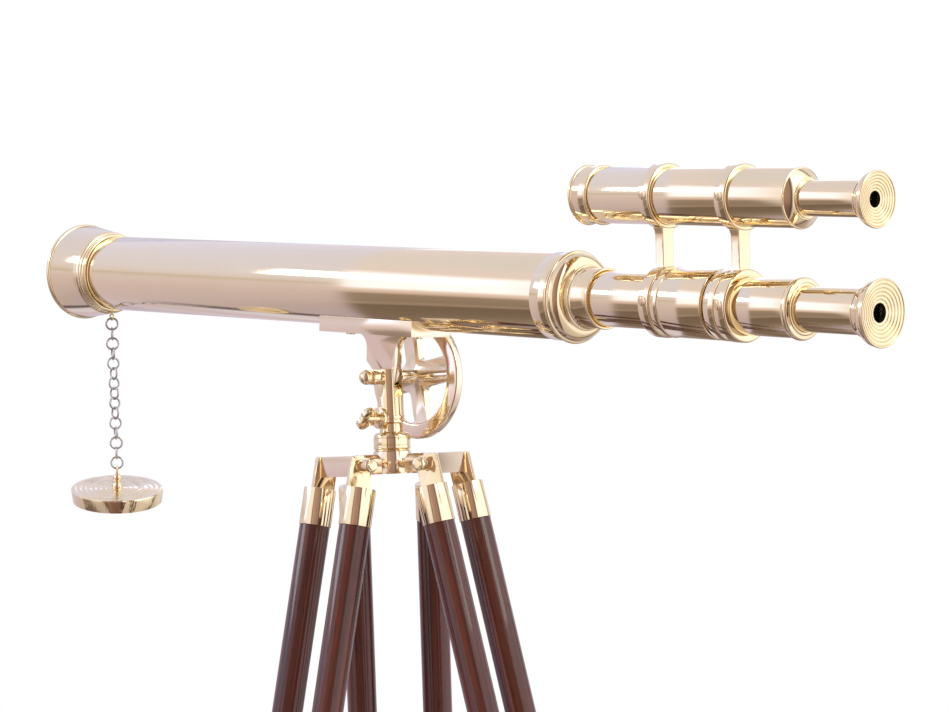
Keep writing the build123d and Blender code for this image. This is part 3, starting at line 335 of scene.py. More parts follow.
# %% Draw tube, drum and bands
pipe("draw_tube_skin", "first_draw_tube", main_axis, 1.2, "draw_tube")
band_start, band_end, band_radius = span("draw_bands", main_axis)
drum_start, drum_end, drum_radius = span("draw_sleeve", main_axis)
recess = band_radius - 1.7
front_band = [
    (band_start, draw_radius), (band_start, recess), (band_start + 0.9, recess),
    (band_start + 0.9, band_radius - 0.3), (band_start + 1.5, band_radius),
    (drum_start - 0.9, band_radius), (drum_start - 0.5, recess + 0.9), (drum_start, recess + 0.9),
    (drum_start, draw_radius),
]
drum_groove = 3.3
rear_band_start = drum_end + drum_groove
rear_band = [
    (rear_band_start, draw_radius), (rear_band_start, band_radius - 0.4),
    (rear_band_start + 0.8, band_radius), (band_end - 1.4, band_radius), (band_end - 0.9, recess),
    (band_end, recess), (band_end, draw_radius),
]
drum = [
    (drum_start, draw_radius), (drum_start, drum_radius - 0.8), (drum_start + 0.6, drum_radius),
    (drum_end - 0.8, drum_radius), (drum_end, drum_radius - 0.8), (drum_end, draw_radius),
]
front_band_piece = turned("draw_band_front", front_band, main_axis)
rear_band_piece = turned("draw_band_rear", rear_band, main_axis)
dress(joined("draw_bands_turned", front_band_piece, rear_band_piece), "draw_tube", "draw_bands")
dress(turned("draw_drum", drum, main_axis), "draw_tube", "draw_sleeve")
print("drum:", round(drum_end - drum_start, 1), "mm long")

# %% [markdown]
# ## Barrel
# A plain tube that ends in a round bead. The inside of the bead guides the eyepiece tube, so
# its bore is a hair wider than that.

# %% Barrel and its end ring
pipe("barrel_skin", "eyepiece_barrel", main_axis, 1.4, "draw_tube")
barrel_radius = 23.4
eye_tube_radius = span("eyepiece_draw_tube", main_axis)[2]
guide_start, ring_end, ring_radius = span("barrel_end_ring", main_axis)
ring_width = 7.9
ring_start = ring_end - ring_width
ring_outline = (
    [(guide_start, eye_tube_radius + 0.06), (guide_start, 21.9), (ring_start + 4.0, 21.9)]
    + [(ring_start + 4.0, barrel_radius), (ring_start, barrel_radius), (ring_start, barrel_radius + 0.3)]
    + bead(ring_start + 0.2, ring_width - 1.6, barrel_radius + 0.3, ring_radius - barrel_radius - 0.3, 14)
    + [(ring_end - 1.2, 21.4)]
    + curve((ring_end - 1.0, 21.2), (ring_end, 19.2), "out", 5)
    + [(ring_end - 0.4, eye_tube_radius + 0.06)]
)
dress(turned("barrel_bead", ring_outline, main_axis), "draw_tube", "barrel_end_ring")
pipe("eyepiece_tube_skin", "eyepiece_draw_tube", main_axis, 1.2, "eyepiece")
print("barrel bead: radius", round(ring_radius, 1), "mm")

# %% [markdown]
# ## Eyecups
# An eyecup flares like a small trumpet, and rings are turned in its dish. Both telescopes
# have one, so a function draws the section, and a loop adds a step and a thin cut per ring.

# %% Eyecups
dish_rings = 6


def eyecup(name, node, axis, neck, hole, dish, body):
    """A flared cup with turned rings in its dish, closed at the back by a thin wall."""
    start, end, rim = span(node, axis)
    flare_end = end - 2.6
    waist = start + (flare_end - start) * 0.45
    outline = [(start, neck - 1.4), (start, neck + 0.3), (start + 1.0, neck + 0.5)]
    outline += [(start + 1.6, neck), (waist, neck + (rim - neck) * 0.16)]
    outline += curve((waist + 0.4, neck + (rim - neck) * 0.18), (flare_end, rim - 0.6), "in", 8)[1:]
    outline += bead(flare_end + 0.2, 2.4, rim - 0.8, 0.8, 8)
    outline += [(end - 0.1, rim - 1.3)]
    pitch = (rim - 1.6 - hole) / dish_rings
    for k in range(dish_rings):
        outer = rim - 1.6 - k * pitch
        deep = end - dish * (k + 0.4) / dish_rings
        outline += [(deep - 0.75, outer - 0.1), (deep - 0.75, outer - 0.2 * pitch)]
        outline += [(deep, outer - 0.3 * pitch), (deep - 0.2, outer - 0.92 * pitch)]
    outline += [(end - dish - 0.4, hole + 0.2), (end - dish - 2.6, hole), (end - dish - 2.6, neck - 2.4)]
    outline += [(start + 6.0, neck - 2.4), (start + 6.0, neck - 1.4)]
    return dress(turned(name, outline, axis, bevel=0.12 * mm), body, node)


cup_neck = 1.4
eyecup("eyepiece_cup_turned", "eyepiece_cup", main_axis, eye_tube_radius + cup_neck, 7.6, 4.0, "eyepiece")
print("eyecup with", dish_rings, "rings")

# %% [markdown]
# ## Finder
# The little telescope on top has the same kinds of parts at a smaller scale, so the same
# helpers make them on its own axis.

# %% Finder
pipe("finder_tube_skin", "finder_tube", finder_axis, 1.3, "draw_tube")
finder_radius = span("finder_tube", finder_axis)[2]
cap_front, cap_inner_end, finder_cap_radius = span("finder_front_cap", finder_axis)
cap_seen = 21.0
cap_back = cap_front + cap_seen
finder_cap = (
    [(cap_front, finder_radius - 1.3), (cap_front, finder_radius + 0.4)]
    + bead(cap_front + 0.2, 3.4, finder_radius + 0.5, finder_cap_radius - finder_radius - 0.5)
    + [(cap_front + 4.0, finder_radius + 0.6), (cap_back - 3.4, finder_radius + 0.8)]
    + bead(cap_back - 3.2, 2.8, finder_radius + 0.6, finder_cap_radius - finder_radius - 0.8)
    + [(cap_back, finder_radius), (cap_inner_end - 10.5, finder_radius), (cap_inner_end - 10.5, 22.7)]
)
dress(turned("finder_cap_turned", finder_cap, finder_axis), "draw_tube", "finder_front_cap")

finder_eye_radius = span("finder_eyepiece_tube", finder_axis)[2]
finder_guide, shoulder_end, finder_end_radius = span("finder_end_ring", finder_axis)
finder_end = span("finder_tube", finder_axis)[1]
finder_ring = (
    [(finder_guide, finder_eye_radius + 0.06), (finder_guide, finder_radius - 1.3)]
    + [(finder_end, finder_radius - 1.3), (finder_end, finder_radius + 0.2)]
    + bead(finder_end + 0.1, 1.9, finder_radius + 0.2, finder_end_radius - finder_radius - 0.2, 8)
    + [(finder_end + 2.2, finder_radius - 0.3), (finder_end + 2.6, finder_radius - 0.5)]
    + [(shoulder_end - 1.6, finder_eye_radius + 2.6)]
    + bead(shoulder_end - 1.5, 1.5, finder_eye_radius + 1.3, 0.7, 6)
    + [(shoulder_end, finder_eye_radius + 0.06)]
)
dress(turned("finder_shoulder", finder_ring, finder_axis), "draw_tube", "finder_end_ring")
pipe("finder_eyepiece_skin", "finder_eyepiece_tube", finder_axis, 1.1, "finder_eyepiece")
finder_neck = finder_eye_radius + cup_neck
eyecup("finder_cup_turned", "finder_eyepiece_cup", finder_axis, finder_neck, 6.4, 3.2, "finder_eyepiece")
print("pieces:", len(pieces))

# %% [markdown]
# ## Finder brackets
# Each bracket is one casting: a ring clamped on the draw tube, a post, and a ring for the
# finder. The rings are turned. The post is a subdivided block whose ends are drawn out to
# meet the rings. It leans a little, because the upper ring stands ahead of the lower one.

# %% Brackets
bracket_width = 12.0
post_foot = 26.0
post_half = 6.5
post_depth = 9.0
post_cuts = 9
end_flare = 0.25


def bracket(name, node):
    """Two turned rings and the flared post between them, joined into one piece."""
    low_points = [p for p in points_in(node, main_axis.inverted()) if p.z < 0]
    high_points = [p for p in points_in(node, finder_axis.inverted()) if p.z > 0]
    low_end = max(p.x for p in low_points) / mm
    high_start = min(p.x for p in high_points) / mm
    ring_radius = max(sqrt(p.y ** 2 + p.z ** 2) for p in low_points) / mm
    top_radius = max(sqrt(p.y ** 2 + p.z ** 2) for p in high_points) / mm
    rings = []
    for axis, start, bore, outer in (
        (main_axis, low_end - bracket_width, draw_radius, ring_radius),
        (finder_axis, high_start, finder_radius, top_radius),
    ):
        end = start + bracket_width
        profile = (
            [(start, bore), (start, outer - 1.8)]
            + curve((start, outer - 1.6), (start + 1.2, outer), "in", 5)
            + curve((end - 2.0, outer), (end, outer - 1.8), "out", 6)
            + [(end, bore)]
        )
        rings.append(turned(name + "_ring", profile, axis))
    start_clean()
    rise = (finder_rise - tube_rise) / mm
    bpy.ops.mesh.primitive_cube_add(size=1, location=(0, 0, 0))
    post = bpy.context.object
    bpy.ops.object.mode_set(mode="EDIT")
    post_height = (rise - 2 * post_foot) * mm
    bpy.ops.transform.resize(value=(post_depth * mm, 2 * post_half * mm, post_height))
    bpy.ops.mesh.subdivide(number_cuts=post_cuts)
    bpy.ops.object.mode_set(mode="OBJECT")
    low_middle = low_end - bracket_width / 2
    high_middle = high_start + bracket_width / 2
    for corner in post.data.vertices:
        share = corner.co.z / post_height + 0.5
        flare = 1 + end_flare * (2 * share - 1) ** 6
        lean = 0.5 + 0.5 * share
        corner.co.x = corner.co.x * flare + (low_middle + (high_middle - low_middle) * lean) * mm
        corner.co.y *= flare
        corner.co.z += rise / 2 * mm
    apply_bevel(post, 1.2 * mm, 3, 40)
    settle(post, main_axis)
    return dress(joined(name, *rings, post), "draw_tube", node)


bracket("front_bracket_cast", "front_bracket")
bracket("rear_bracket_cast", "rear_bracket")
print("brackets: posts", 2 * post_half, "mm wide")

# %% [markdown]
# ## Spindle
# The spindle is one upright turning: a tenon in the tripod's head, a flared collar with two
# fine rings, a neck, and a pin that the fork turns on. The head and the fork give its
# heights. Its axis stands upright, so its stations are heights above the floor.

# %% Spindle
spindle_low, spindle_top, collar_reach = span("spindle", floor_axis)
head_reach = span("tripod_head", floor_axis)[2]
fork_low = span("fork_post", floor_axis)[0]
hub_reach = 18 * mm
head_points = points_in("tripod_head", floor_axis.inverted())
seat_low = max(p.x for p in head_points if sqrt(p.y ** 2 + p.z ** 2) < hub_reach) / mm
collar_low = seat_low + 2.0
collar_top = collar_low + 15.5
spindle_radius = 7.0
neck_radius = 10.9
spindle_outline = (
    [(spindle_low, 0.02), (spindle_low, 8.0), (seat_low, 8.0), (seat_low, 14.6)]
    + bead(seat_low + 0.1, 1.5, 15.9, 0.9, 6)
    + [(collar_low - 0.2, 15.2), (collar_low, 15.4), (collar_low + 0.3, collar_reach - 0.5)]
    + [(collar_low + 1.0, collar_reach), (collar_low + 3.2, collar_reach)]
    + [(collar_low + 3.5, collar_reach - 0.5)]
    + [(collar_low + 3.9, collar_reach - 0.5), (collar_low + 4.2, collar_reach - 0.1)]
    + [(collar_top - 5.4, collar_reach - 0.2), (collar_top - 5.1, collar_reach - 0.8)]
    + [(collar_top - 4.6, collar_reach - 0.8)]
    + curve((collar_top - 4.4, collar_reach - 0.4), (collar_top, neck_radius + 1.5), "out", 8)
    + [(collar_top + 0.3, neck_radius + 0.2), (collar_top + 2.0, neck_radius)]
    + [(fork_low - 1.2, neck_radius), (fork_low - 0.4, neck_radius - 0.7), (fork_low - 0.3, spindle_radius)]
    + [(spindle_top - 1.0, spindle_radius), (spindle_top, spindle_radius - 1.0), (spindle_top, 0.02)]
)
dress(turned("spindle_turned", spindle_outline, floor_axis), "tripod_base", "spindle")
print("spindle from", round(spindle_low), "to", round(spindle_top), "mm; reach", round(head_reach))

# %% [markdown]
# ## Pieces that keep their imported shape
# The castings, screws, wood and chain already have the right form. Each is copied, its loose
# triangles are merged and dissolved into clean faces, and its sharp corners get a narrow
# bevel: the thin rounded edge that catches the light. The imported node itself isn't changed.


# %% Softened castings
merge_distance = 0.004 * mm
flat_angle = radians(0.6)


def softened(node_name, body, width, slot="polished_brass", swell=0.0):
    """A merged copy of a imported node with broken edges, which then stands for that node."""
    start_clean()
    source = frame["nodes"][node_name]
    piece = source.copy()
    piece.data = source.data.copy()
    piece.name = node_name + "_finished"
    piece.hide_render = False
    bpy.context.scene.collection.objects.link(piece)
    select_only(piece)
    bpy.ops.object.mode_set(mode="EDIT")
    bpy.ops.mesh.select_all(action="SELECT")
    bpy.ops.mesh.remove_doubles(threshold=merge_distance)
    bpy.ops.mesh.dissolve_limited(angle_limit=flat_angle)
    bpy.ops.mesh.select_all(action="SELECT")
    if swell:
        bpy.ops.transform.shrink_fatten(value=swell * mm)
    bpy.ops.object.mode_set(mode="OBJECT")
    apply_bevel(piece, width * mm)
    return dress(piece, body, node_name, slot=slot)


castings = [
    ("saddle", "telescope", 0.5), ("saddle_screws", "telescope", 0.15), ("chain_eyelet", "telescope", 0.1),
    ("lens_retaining_ring", "telescope", 0.15), ("bracket_screws", "draw_tube", 0.15),
    ("fork_post", "pan_fork", 0.35), ("altitude_bolt", "pan_fork", 0.25),
    ("altitude_clamp_wheel", "clamp_wheel", 0.5), ("azimuth_clamp_screw", "pan_lock", 0.4),
    ("tripod_head", "tripod_base", 0.5), ("leg_hinge_bolts", "tripod_base", 0.3),
    ("lens_cap", "hanging_cap", 0.12),
]
for node_name, body, width in castings:
    softened(node_name, body, width)
leg_names = sorted(name[: -len("_ferrules")] for name in frame["nodes"] if name.endswith("_ferrules"))
for leg in leg_names:
    number = leg.split("_")[1]
    for piece_name, body, width in (
        (leg + "_ferrules", leg + "_upper", 0.3), (leg + "_yoke", leg + "_upper", 0.4),
        (leg + "_slider", leg + "_lower", 0.4), (leg + "_foot", leg + "_lower", 0.3),
        ("hinge_nut_" + number, "nut_" + number, 0.25), ("clamp_screw_" + number, "leg_lock_" + number, 0.3),
    ):
        softened(piece_name, body, width)
    softened(leg + "_rods", leg + "_upper", 0.3, slot="mahogany")
    softened(leg + "_lower_rod", leg + "_lower", 0.3, slot="mahogany")
wire_swell = 0.3
softened("cap_chain", "hanging_cap", 0.0001, slot="chain_steel", swell=wire_swell)
print("pieces:", len(pieces), "legs:", leg_names)

# %% [markdown]
# ## Studio
# Polished brass shows its surroundings more than its own colour. So the world is plain
# white to the camera, soft white to matt surfaces, and a pale room to metal. Ramps over
# height and bearing draw that room, band by band. First come helpers for building trees.

# %% Small helpers for building node trees
black = (0, 0, 0)
white = (1, 1, 1)


def add_node(tree, kind, **settings):
    """Adds a shader node and sets its plain properties."""
    node = tree.nodes.new("ShaderNode" + kind)
    for name, value in settings.items():
        setattr(node, name, value)
    return node


def calculate(tree, operation, first, second=None, third=None):
    """A maths node; each input is a number or a socket."""
    node = add_node(tree, "Math", operation=operation)
    for index, value in enumerate((first, second, third)):
        if value is None:
            continue
        if isinstance(value, (int, float)):
            node.inputs[index].default_value = value
        else:
            tree.links.new(value, node.inputs[index])
    return node.outputs[0]


def ramp(tree, factor, stops):
    """A colour ramp; stops are (position, colour) pairs."""
    node = add_node(tree, "ValToRGB")
    elements = node.color_ramp.elements
    while len(elements) < len(stops):
        elements.new(0.5)
    for element, (position, colour) in zip(elements, stops):
        element.position = position
        element.color = (*colour, 1)
    tree.links.new(factor, node.inputs["Fac"])
    return node.outputs["Color"]


def mask(tree, factor, low, high):
    """Black below one value and white above another."""
    return ramp(tree, factor, [(low, black), (high, white)])


def mix_colours(tree, factor, first, second, mode="MIX"):
    """Mixes two colours; each input is a value or a socket."""
    node = add_node(tree, "Mix", data_type="RGBA", blend_type=mode)
    for socket, value in ((node.inputs[0], factor), (node.inputs[6], first), (node.inputs[7], second)):
        if isinstance(value, tuple):
            socket.default_value = (*value, 1)
        elif isinstance(value, (int, float)):
            socket.default_value = value
        else:
            tree.links.new(value, socket)
    return node.outputs[2]


# %% [markdown]
# ## The room ahead of the telescope
# A tube's reflections lie on a cone round its axis, so they see a thin arc of the room. The
# main tube's arc is cool and bright above, warm at eye level and greyer below, with one gap.

# %% The room that metal sees
world = bpy.data.worlds.new("studio")
bpy.context.scene.world = world
world.use_nodes = True
tree = world.node_tree
tree.nodes.clear()
sky = add_node(tree, "TexCoord").outputs["Generated"]
parts_of_sky = add_node(tree, "SeparateXYZ")
tree.links.new(sky, parts_of_sky.inputs[0])
rise_angle = calculate(tree, "ARCSINE", parts_of_sky.outputs["Z"])
height = calculate(tree, "MULTIPLY_ADD", rise_angle, 1 / pi, 0.5)
bearing = calculate(tree, "ARCTAN2", parts_of_sky.outputs["Y"], parts_of_sky.outputs["X"])
turn = calculate(tree, "MULTIPLY_ADD", bearing, 0.5 / pi, 0.5)


def level(angle):
    """An elevation in degrees, as a place on a ramp from the floor to the ceiling."""
    return (angle + 90) / 180


def around(angle):
    """A bearing in degrees, as a place on the ramp that goes round the room."""
    return (angle + 180) / 360


front_room = ramp(tree, height, [
    (level(-90), (0.34, 0.30, 0.38)), (level(-50), (0.46, 0.40, 0.52)), (level(-37), (0.52, 0.46, 0.60)),
    (level(-30), (0.56, 0.48, 0.58)), (level(-20), (0.64, 0.56, 0.68)), (level(-10), (0.70, 0.60, 0.72)),
    (level(3), (0.75, 0.68, 0.80)), (level(8), (0.66, 0.60, 0.62)), (level(10), (0.78, 0.73, 0.86)),
    (level(17), (0.80, 0.80, 1.02)), (level(37), (0.80, 0.82, 1.14)), (level(60), (0.78, 0.80, 1.12)),
    (level(90), (0.80, 0.84, 1.05)),
])
low_gap = ramp(tree, turn, [
    (around(-180), white), (around(146), (1.30, 1.45, 1.55)), (around(164), (1.30, 1.45, 1.55)),
    (around(168), (0.27, 0.24, 0.26)), (around(172), (0.27, 0.24, 0.26)), (around(175), white),
    (around(180), white),
])
low_down = ramp(tree, height, [
    (0.0, white), (level(-26), white), (level(-20), black), (1.0, black),
])
gap_shade = mix_colours(tree, low_down, white, low_gap)
front_room = mix_colours(tree, 1.0, front_room, gap_shade, "MULTIPLY")
print("room ahead: nodes so far", len(tree.nodes))

# %% [markdown]
# ## The screen beside the telescope
# Further from the tube's axis there are a white screen above eye level and a dark table
# below it, for the objective's cone and the rear tubes. A Dot Product with the tube's
# direction tells the two places apart.

# %% The white screen and the dark table
screen_room = ramp(tree, height, [
    (level(-90), (0.42, 0.38, 0.50)), (level(-58), (0.50, 0.44, 0.60)), (level(-51), (0.30, 0.24, 0.23)),
    (level(-42), (0.22, 0.17, 0.15)), (level(-29), (0.20, 0.15, 0.13)), (level(-26), (0.38, 0.30, 0.28)),
    (level(-21), (0.30, 0.24, 0.22)), (level(-9), (0.34, 0.27, 0.25)), (level(-6), (0.66, 0.54, 0.56)),
    (level(0), (0.90, 0.80, 0.90)), (level(4), (1.25, 1.32, 1.80)), (level(30), (1.25, 1.32, 1.80)),
    (level(37), (0.88, 0.82, 0.98)), (level(60), (0.80, 0.80, 0.98)), (level(90), (0.78, 0.80, 1.00)),
])
ahead = add_node(tree, "VectorMath", operation="DOT_PRODUCT")
tree.links.new(sky, ahead.inputs[0])
ahead.inputs[1].default_value = -tube_direction
forwardness = calculate(tree, "MULTIPLY_ADD", ahead.outputs["Value"], 0.5, 0.5)
beside = ramp(tree, forwardness, [
    (0.0, white), (0.847, white), (0.851, black), (1.0, black),
])
front_room = mix_colours(tree, beside, front_room, screen_room)
print("screen and table: nodes so far", len(tree.nodes))

# %% [markdown]
# ## The walls behind the eyepiece
# Upright pieces such as the fork see the whole round of the room near eye level. Each wall
# shows as an upright stripe: pale, a dark line, brown, a dark line, and a very bright wall.

# %% The walls behind and beside the eyepiece
back_walls = ramp(tree, turn, [
    (around(-180), (0.8, 0.75, 0.8)), (around(-110), (1.0, 0.95, 1.05)), (around(-92), (1.10, 1.08, 1.15)),
    (around(-78), (1.05, 1.00, 1.00)), (around(-72), (0.14, 0.08, 0.07)), (around(-67), (0.60, 0.44, 0.40)),
    (around(-56), (0.46, 0.30, 0.26)), (around(-30), (0.38, 0.26, 0.24)), (around(-23), (0.09, 0.05, 0.05)),
    (around(-15), (1.40, 1.42, 1.50)), (around(55), (1.40, 1.42, 1.50)), (around(70), white),
    (around(75), (0.24, 0.16, 0.13)), (around(84), (0.88, 0.84, 0.88)), (around(180), (0.85, 0.85, 0.95)),
])
back_height = ramp(tree, height, [
    (0.0, (0.40, 0.35, 0.34)), (level(-35), (0.55, 0.50, 0.48)), (level(-14), (0.92, 0.90, 0.90)),
    (level(0), white), (level(25), white), (level(90), (0.85, 0.9, 1.0)),
])
back_room = mix_colours(tree, 1.0, back_walls, back_height, "MULTIPLY")
behind = ramp(tree, turn, [
    (around(-180), black), (around(-116), black), (around(-106), white), (around(112), white),
    (around(134), black), (around(180), black),
])
metal_room = mix_colours(tree, behind, front_room, back_room)
print("walls: nodes so far", len(tree.nodes))

# %% [markdown]
# ## What each kind of ray sees
# Light Path tells the rays apart, so the backdrop is white without more light on the object.

# %% What matt surfaces and the camera see
light_path = add_node(tree, "LightPath")
matt_white = (0.80, 0.80, 0.80)
seen = mix_colours(tree, light_path.outputs["Is Camera Ray"], matt_white, white)
seen = mix_colours(tree, light_path.outputs["Is Transmission Ray"], seen, white)
seen = mix_colours(tree, light_path.outputs["Is Glossy Ray"], seen, metal_room)
background = add_node(tree, "Background")
tree.links.new(seen, background.inputs["Color"])
output = add_node(tree, "OutputWorld")
tree.links.new(background.outputs[0], output.inputs["Surface"])
print("world nodes:", len(tree.nodes))

# %% [markdown]
# ## Lamps
# Two large soft lamps light the object: a long one at the front left, which the tubes show
# as a thin white stripe, and a wider one behind the eyepiece.


# %% Lamps
def facing(place):
    """The turn of a flat thing at a place that looks at the mount."""
    return Matrix.Translation(place) @ (crossing - place).to_track_quat("-Z", "Y").to_matrix().to_4x4()


def place_around(bearing_degrees, elevation_degrees, distance):
    """A place at a bearing and elevation as seen from the mount."""
    flat = cos(radians(elevation_degrees)) * distance
    return crossing + Vector((
        flat * cos(radians(bearing_degrees)), flat * sin(radians(bearing_degrees)),
        sin(radians(elevation_degrees)) * distance,
    ))


def area_lamp(name, place, width, tall, watts, colour):
    """A rectangular lamp that faces the mount."""
    data = bpy.data.lights.new(name, "AREA")
    data.shape = "RECTANGLE"
    data.size = width
    data.size_y = tall
    data.energy = watts
    data.color = colour
    lamp = bpy.data.objects.new(name, data)
    bpy.context.scene.collection.objects.link(lamp)
    lamp.matrix_world = facing(place)
    return lamp


area_lamp("strip_light", place_around(-131, 24, 2.4), 1.25, 0.42, 7.2, (1.0, 0.98, 0.95))
area_lamp("window_light", place_around(10, 35, 3.0), 1.6, 1.4, 22.0, (1.0, 0.97, 0.90))
print("lamps:", len(bpy.data.lights))

# %% [markdown]
# ## Floor
# A plain pale matt plane takes the object's shadow. Metal doesn't see it, but the room.

# %% Floor
floor_size = 12.0
start_clean()
bpy.ops.mesh.primitive_plane_add(size=floor_size)
floor = bpy.context.object
floor.name = "floor"
floor.visible_glossy = False
floor_material = bpy.data.materials.new("pale_floor")
floor_material.use_nodes = True
floor_shader = floor_material.node_tree.nodes["Principled BSDF"]
floor_shader.inputs["Base Color"].default_value = (0.86, 0.86, 0.86, 1)
floor_shader.inputs["Roughness"].default_value = 0.8
floor.data.materials.append(floor_material)
print("floor:", floor_size, "m")

# %% [markdown]
# ## Finishes
# Four effects are shared, so each is a node group: lathe marks, tarnish, edge wear with painted
# shade in hollows, and wood grain. A group gives only masks, colours or heights; the shader stays in each
# material.


# %% Node groups
def new_group(name, inputs, outputs):
    """An empty node group with named inputs and outputs."""
    group = bpy.data.node_groups.new(name, "ShaderNodeTree")
    for socket_name, kind, value in inputs:
        socket = group.interface.new_socket(name=socket_name, in_out="INPUT", socket_type=kind)
        if value is not None:
            socket.default_value = value
    for socket_name, kind in outputs:
        group.interface.new_socket(name=socket_name, in_out="OUTPUT", socket_type=kind)
    entrance = group.nodes.new("NodeGroupInput")
    leaving = group.nodes.new("NodeGroupOutput")
    return group, entrance.outputs, leaving.inputs


def noise(tree, vector, scale, detail=2.0, roughness=0.5):
    """A noise texture; scale is a number or a socket."""
    node = add_node(tree, "TexNoise")
    tree.links.new(vector, node.inputs["Vector"])
    if isinstance(scale, (int, float)):
        node.inputs["Scale"].default_value = scale
    else:
        tree.links.new(scale, node.inputs["Scale"])
    node.inputs["Detail"].default_value = detail
    node.inputs["Roughness"].default_value = roughness
    return node.outputs["Fac"]


def stretch(tree, vector, factors):
    """Squeezes a pattern by a factor along each axis."""
    node = add_node(tree, "VectorMath", operation="MULTIPLY")
    tree.links.new(vector, node.inputs[0])
    node.inputs[1].default_value = factors
    return node.outputs[0]


vector_kind, number_kind, colour_kind = "NodeSocketVector", "NodeSocketFloat", "NodeSocketColor"

# %% [markdown]
# ### Lathe marks
# A noise squeezed along X changes quickly along a piece and hardly round it, as the rings
# that a lathe leaves do. Two scales are mixed.

# %% Lathe marks
lathe_marks, entering, leaving = new_group(
    "lathe_marks", [("Vector", vector_kind, None), ("Fineness", number_kind, 1.0)],
    [("Height", number_kind), ("Roughness", number_kind)],
)
fine_rings = stretch(lathe_marks, entering["Vector"], (3200.0, 9.0, 9.0))
coarse_rings = stretch(lathe_marks, entering["Vector"], (420.0, 14.0, 14.0))
fine = noise(lathe_marks, fine_rings, entering["Fineness"], 3.0)
coarse = noise(lathe_marks, coarse_rings, entering["Fineness"], 2.0)
together = calculate(lathe_marks, "MULTIPLY_ADD", coarse, 0.5, calculate(lathe_marks, "MULTIPLY", fine, 0.5))
lathe_marks.links.new(together, leaving["Height"])
lathe_marks.links.new(calculate(lathe_marks, "MULTIPLY_ADD", together, 0.08, -0.02), leaving["Roughness"])
print("lathe marks:", len(lathe_marks.nodes), "nodes")

# %% [markdown]
# ### Tarnish
# Brass dulls in broad clouds, in small spots and where fingers smeared it. Three noises give
# the masks, and the strongest picks between the bright and the dull colour.

# %% Tarnish
tarnish, entering, leaving = new_group(
    "tarnish",
    [("Vector", vector_kind, None), ("Bright", colour_kind, (0.90, 0.77, 0.48, 1)),
     ("Dull", colour_kind, (0.78, 0.57, 0.34, 1)), ("Amount", number_kind, 0.5)],
    [("Color", colour_kind), ("Roughness", number_kind)],
)
clouds = noise(tarnish, entering["Vector"], 16.0, 4.0, 0.6)
cloud_mask = mask(tarnish, clouds, 0.38, 0.72)
specks = noise(tarnish, entering["Vector"], 420.0, 2.0, 0.6)
speck_mask = mask(tarnish, specks, 0.66, 0.76)
smears = noise(tarnish, stretch(tarnish, entering["Vector"], (60.0, 60.0, 26.0)), 1.0, 3.0, 0.6)
smear_mask = mask(tarnish, smears, 0.5, 0.8)
weight = calculate(tarnish, "MAXIMUM", calculate(tarnish, "MULTIPLY", cloud_mask, 0.6),
                   calculate(tarnish, "MULTIPLY", speck_mask, 0.7))
weight = calculate(tarnish, "MULTIPLY", calculate(tarnish, "MAXIMUM", weight,
                   calculate(tarnish, "MULTIPLY", smear_mask, 0.35)), entering["Amount"])
tarnish.links.new(mix_colours(tarnish, weight, entering["Bright"], entering["Dull"]), leaving["Color"])
tarnish.links.new(calculate(tarnish, "MULTIPLY", weight, 0.10), leaving["Roughness"])
print("tarnish:", len(tarnish.nodes), "nodes")

# %% [markdown]
# ### Edge wear and painted shade
# Pointiness is high on ridges, which stay bright from wear, and low in hollows, where a brown shade is
# painted.

# %% Edge wear and painted shade in hollows
edge_wear, entering, leaving = new_group(
    "edge_wear", [("Pointiness", number_kind, 0.5)], [("Rubbed", number_kind), ("Grime", number_kind)],
)
ridges = mask(edge_wear, entering["Pointiness"], 0.52, 0.60)
# Painted shade: low pointiness marks the hollows, where a dark brown is painted in as shade.
hollow_shade_mask = ramp(edge_wear, entering["Pointiness"], [(0.42, white), (0.485, black)])
edge_wear.links.new(ridges, leaving["Rubbed"])
edge_wear.links.new(hollow_shade_mask, leaving["Grime"])
print("edge wear:", len(edge_wear.nodes), "nodes")

# %% [markdown]
# ### Wood grain
# Long streaks, short dark pores and a slow ribbon figure, all along Z.

# %% Wood grain
wood_grain, entering, leaving = new_group(
    "wood_grain", [("Vector", vector_kind, None)],
    [("Grain", number_kind), ("Pores", number_kind), ("Figure", number_kind)],
)
streaks = noise(wood_grain, stretch(wood_grain, entering["Vector"], (230.0, 230.0, 5.0)), 1.0, 5.0, 0.65)
pore_noise = noise(wood_grain, stretch(wood_grain, entering["Vector"], (1500.0, 1500.0, 60.0)), 1.0, 2.0, 0.5)
figure = noise(wood_grain, stretch(wood_grain, entering["Vector"], (40.0, 40.0, 3.0)), 1.0, 3.0, 0.5)
wood_grain.links.new(mask(wood_grain, streaks, 0.36, 0.64), leaving["Grain"])
wood_grain.links.new(mask(wood_grain, pore_noise, 0.60, 0.72), leaving["Pores"])
wood_grain.links.new(mask(wood_grain, figure, 0.35, 0.65), leaving["Figure"])
print("node groups:", len(bpy.data.node_groups))

# %% [markdown]
# ## Brass
# Polished brass is a mirror with a warm tint, so its roughness is low and its detail is
# slight: rings from the lathe, a little tarnish and a painted brown shade in the corners.
# The marks follow the piece's own axis, which a Mapping node turns to the pattern's X.


# %% Brass
def new_material(name):
    """A material, its node tree, its shader and its object coordinates."""
    material = bpy.data.materials.new(name)
    material.use_nodes = True
    tree = material.node_tree
    coordinates = add_node(tree, "TexCoord").outputs["Object"]
    return material, tree, tree.nodes["Principled BSDF"], coordinates


def turned_to(tree, coordinates, rotation):
    """Turns a pattern to a piece's own direction."""
    node = add_node(tree, "Mapping")
    node.inputs["Rotation"].default_value = rotation
    tree.links.new(coordinates, node.inputs["Vector"])
    return node.outputs["Vector"]


def use_group(tree, group, **inputs):
    """Places a node group and fills its inputs."""
    node = add_node(tree, "Group")
    node.node_tree = group
    for name, value in inputs.items():
        if isinstance(value, (int, float, tuple)):
            node.inputs[name].default_value = value
        else:
            tree.links.new(value, node.inputs[name])
    return node.outputs


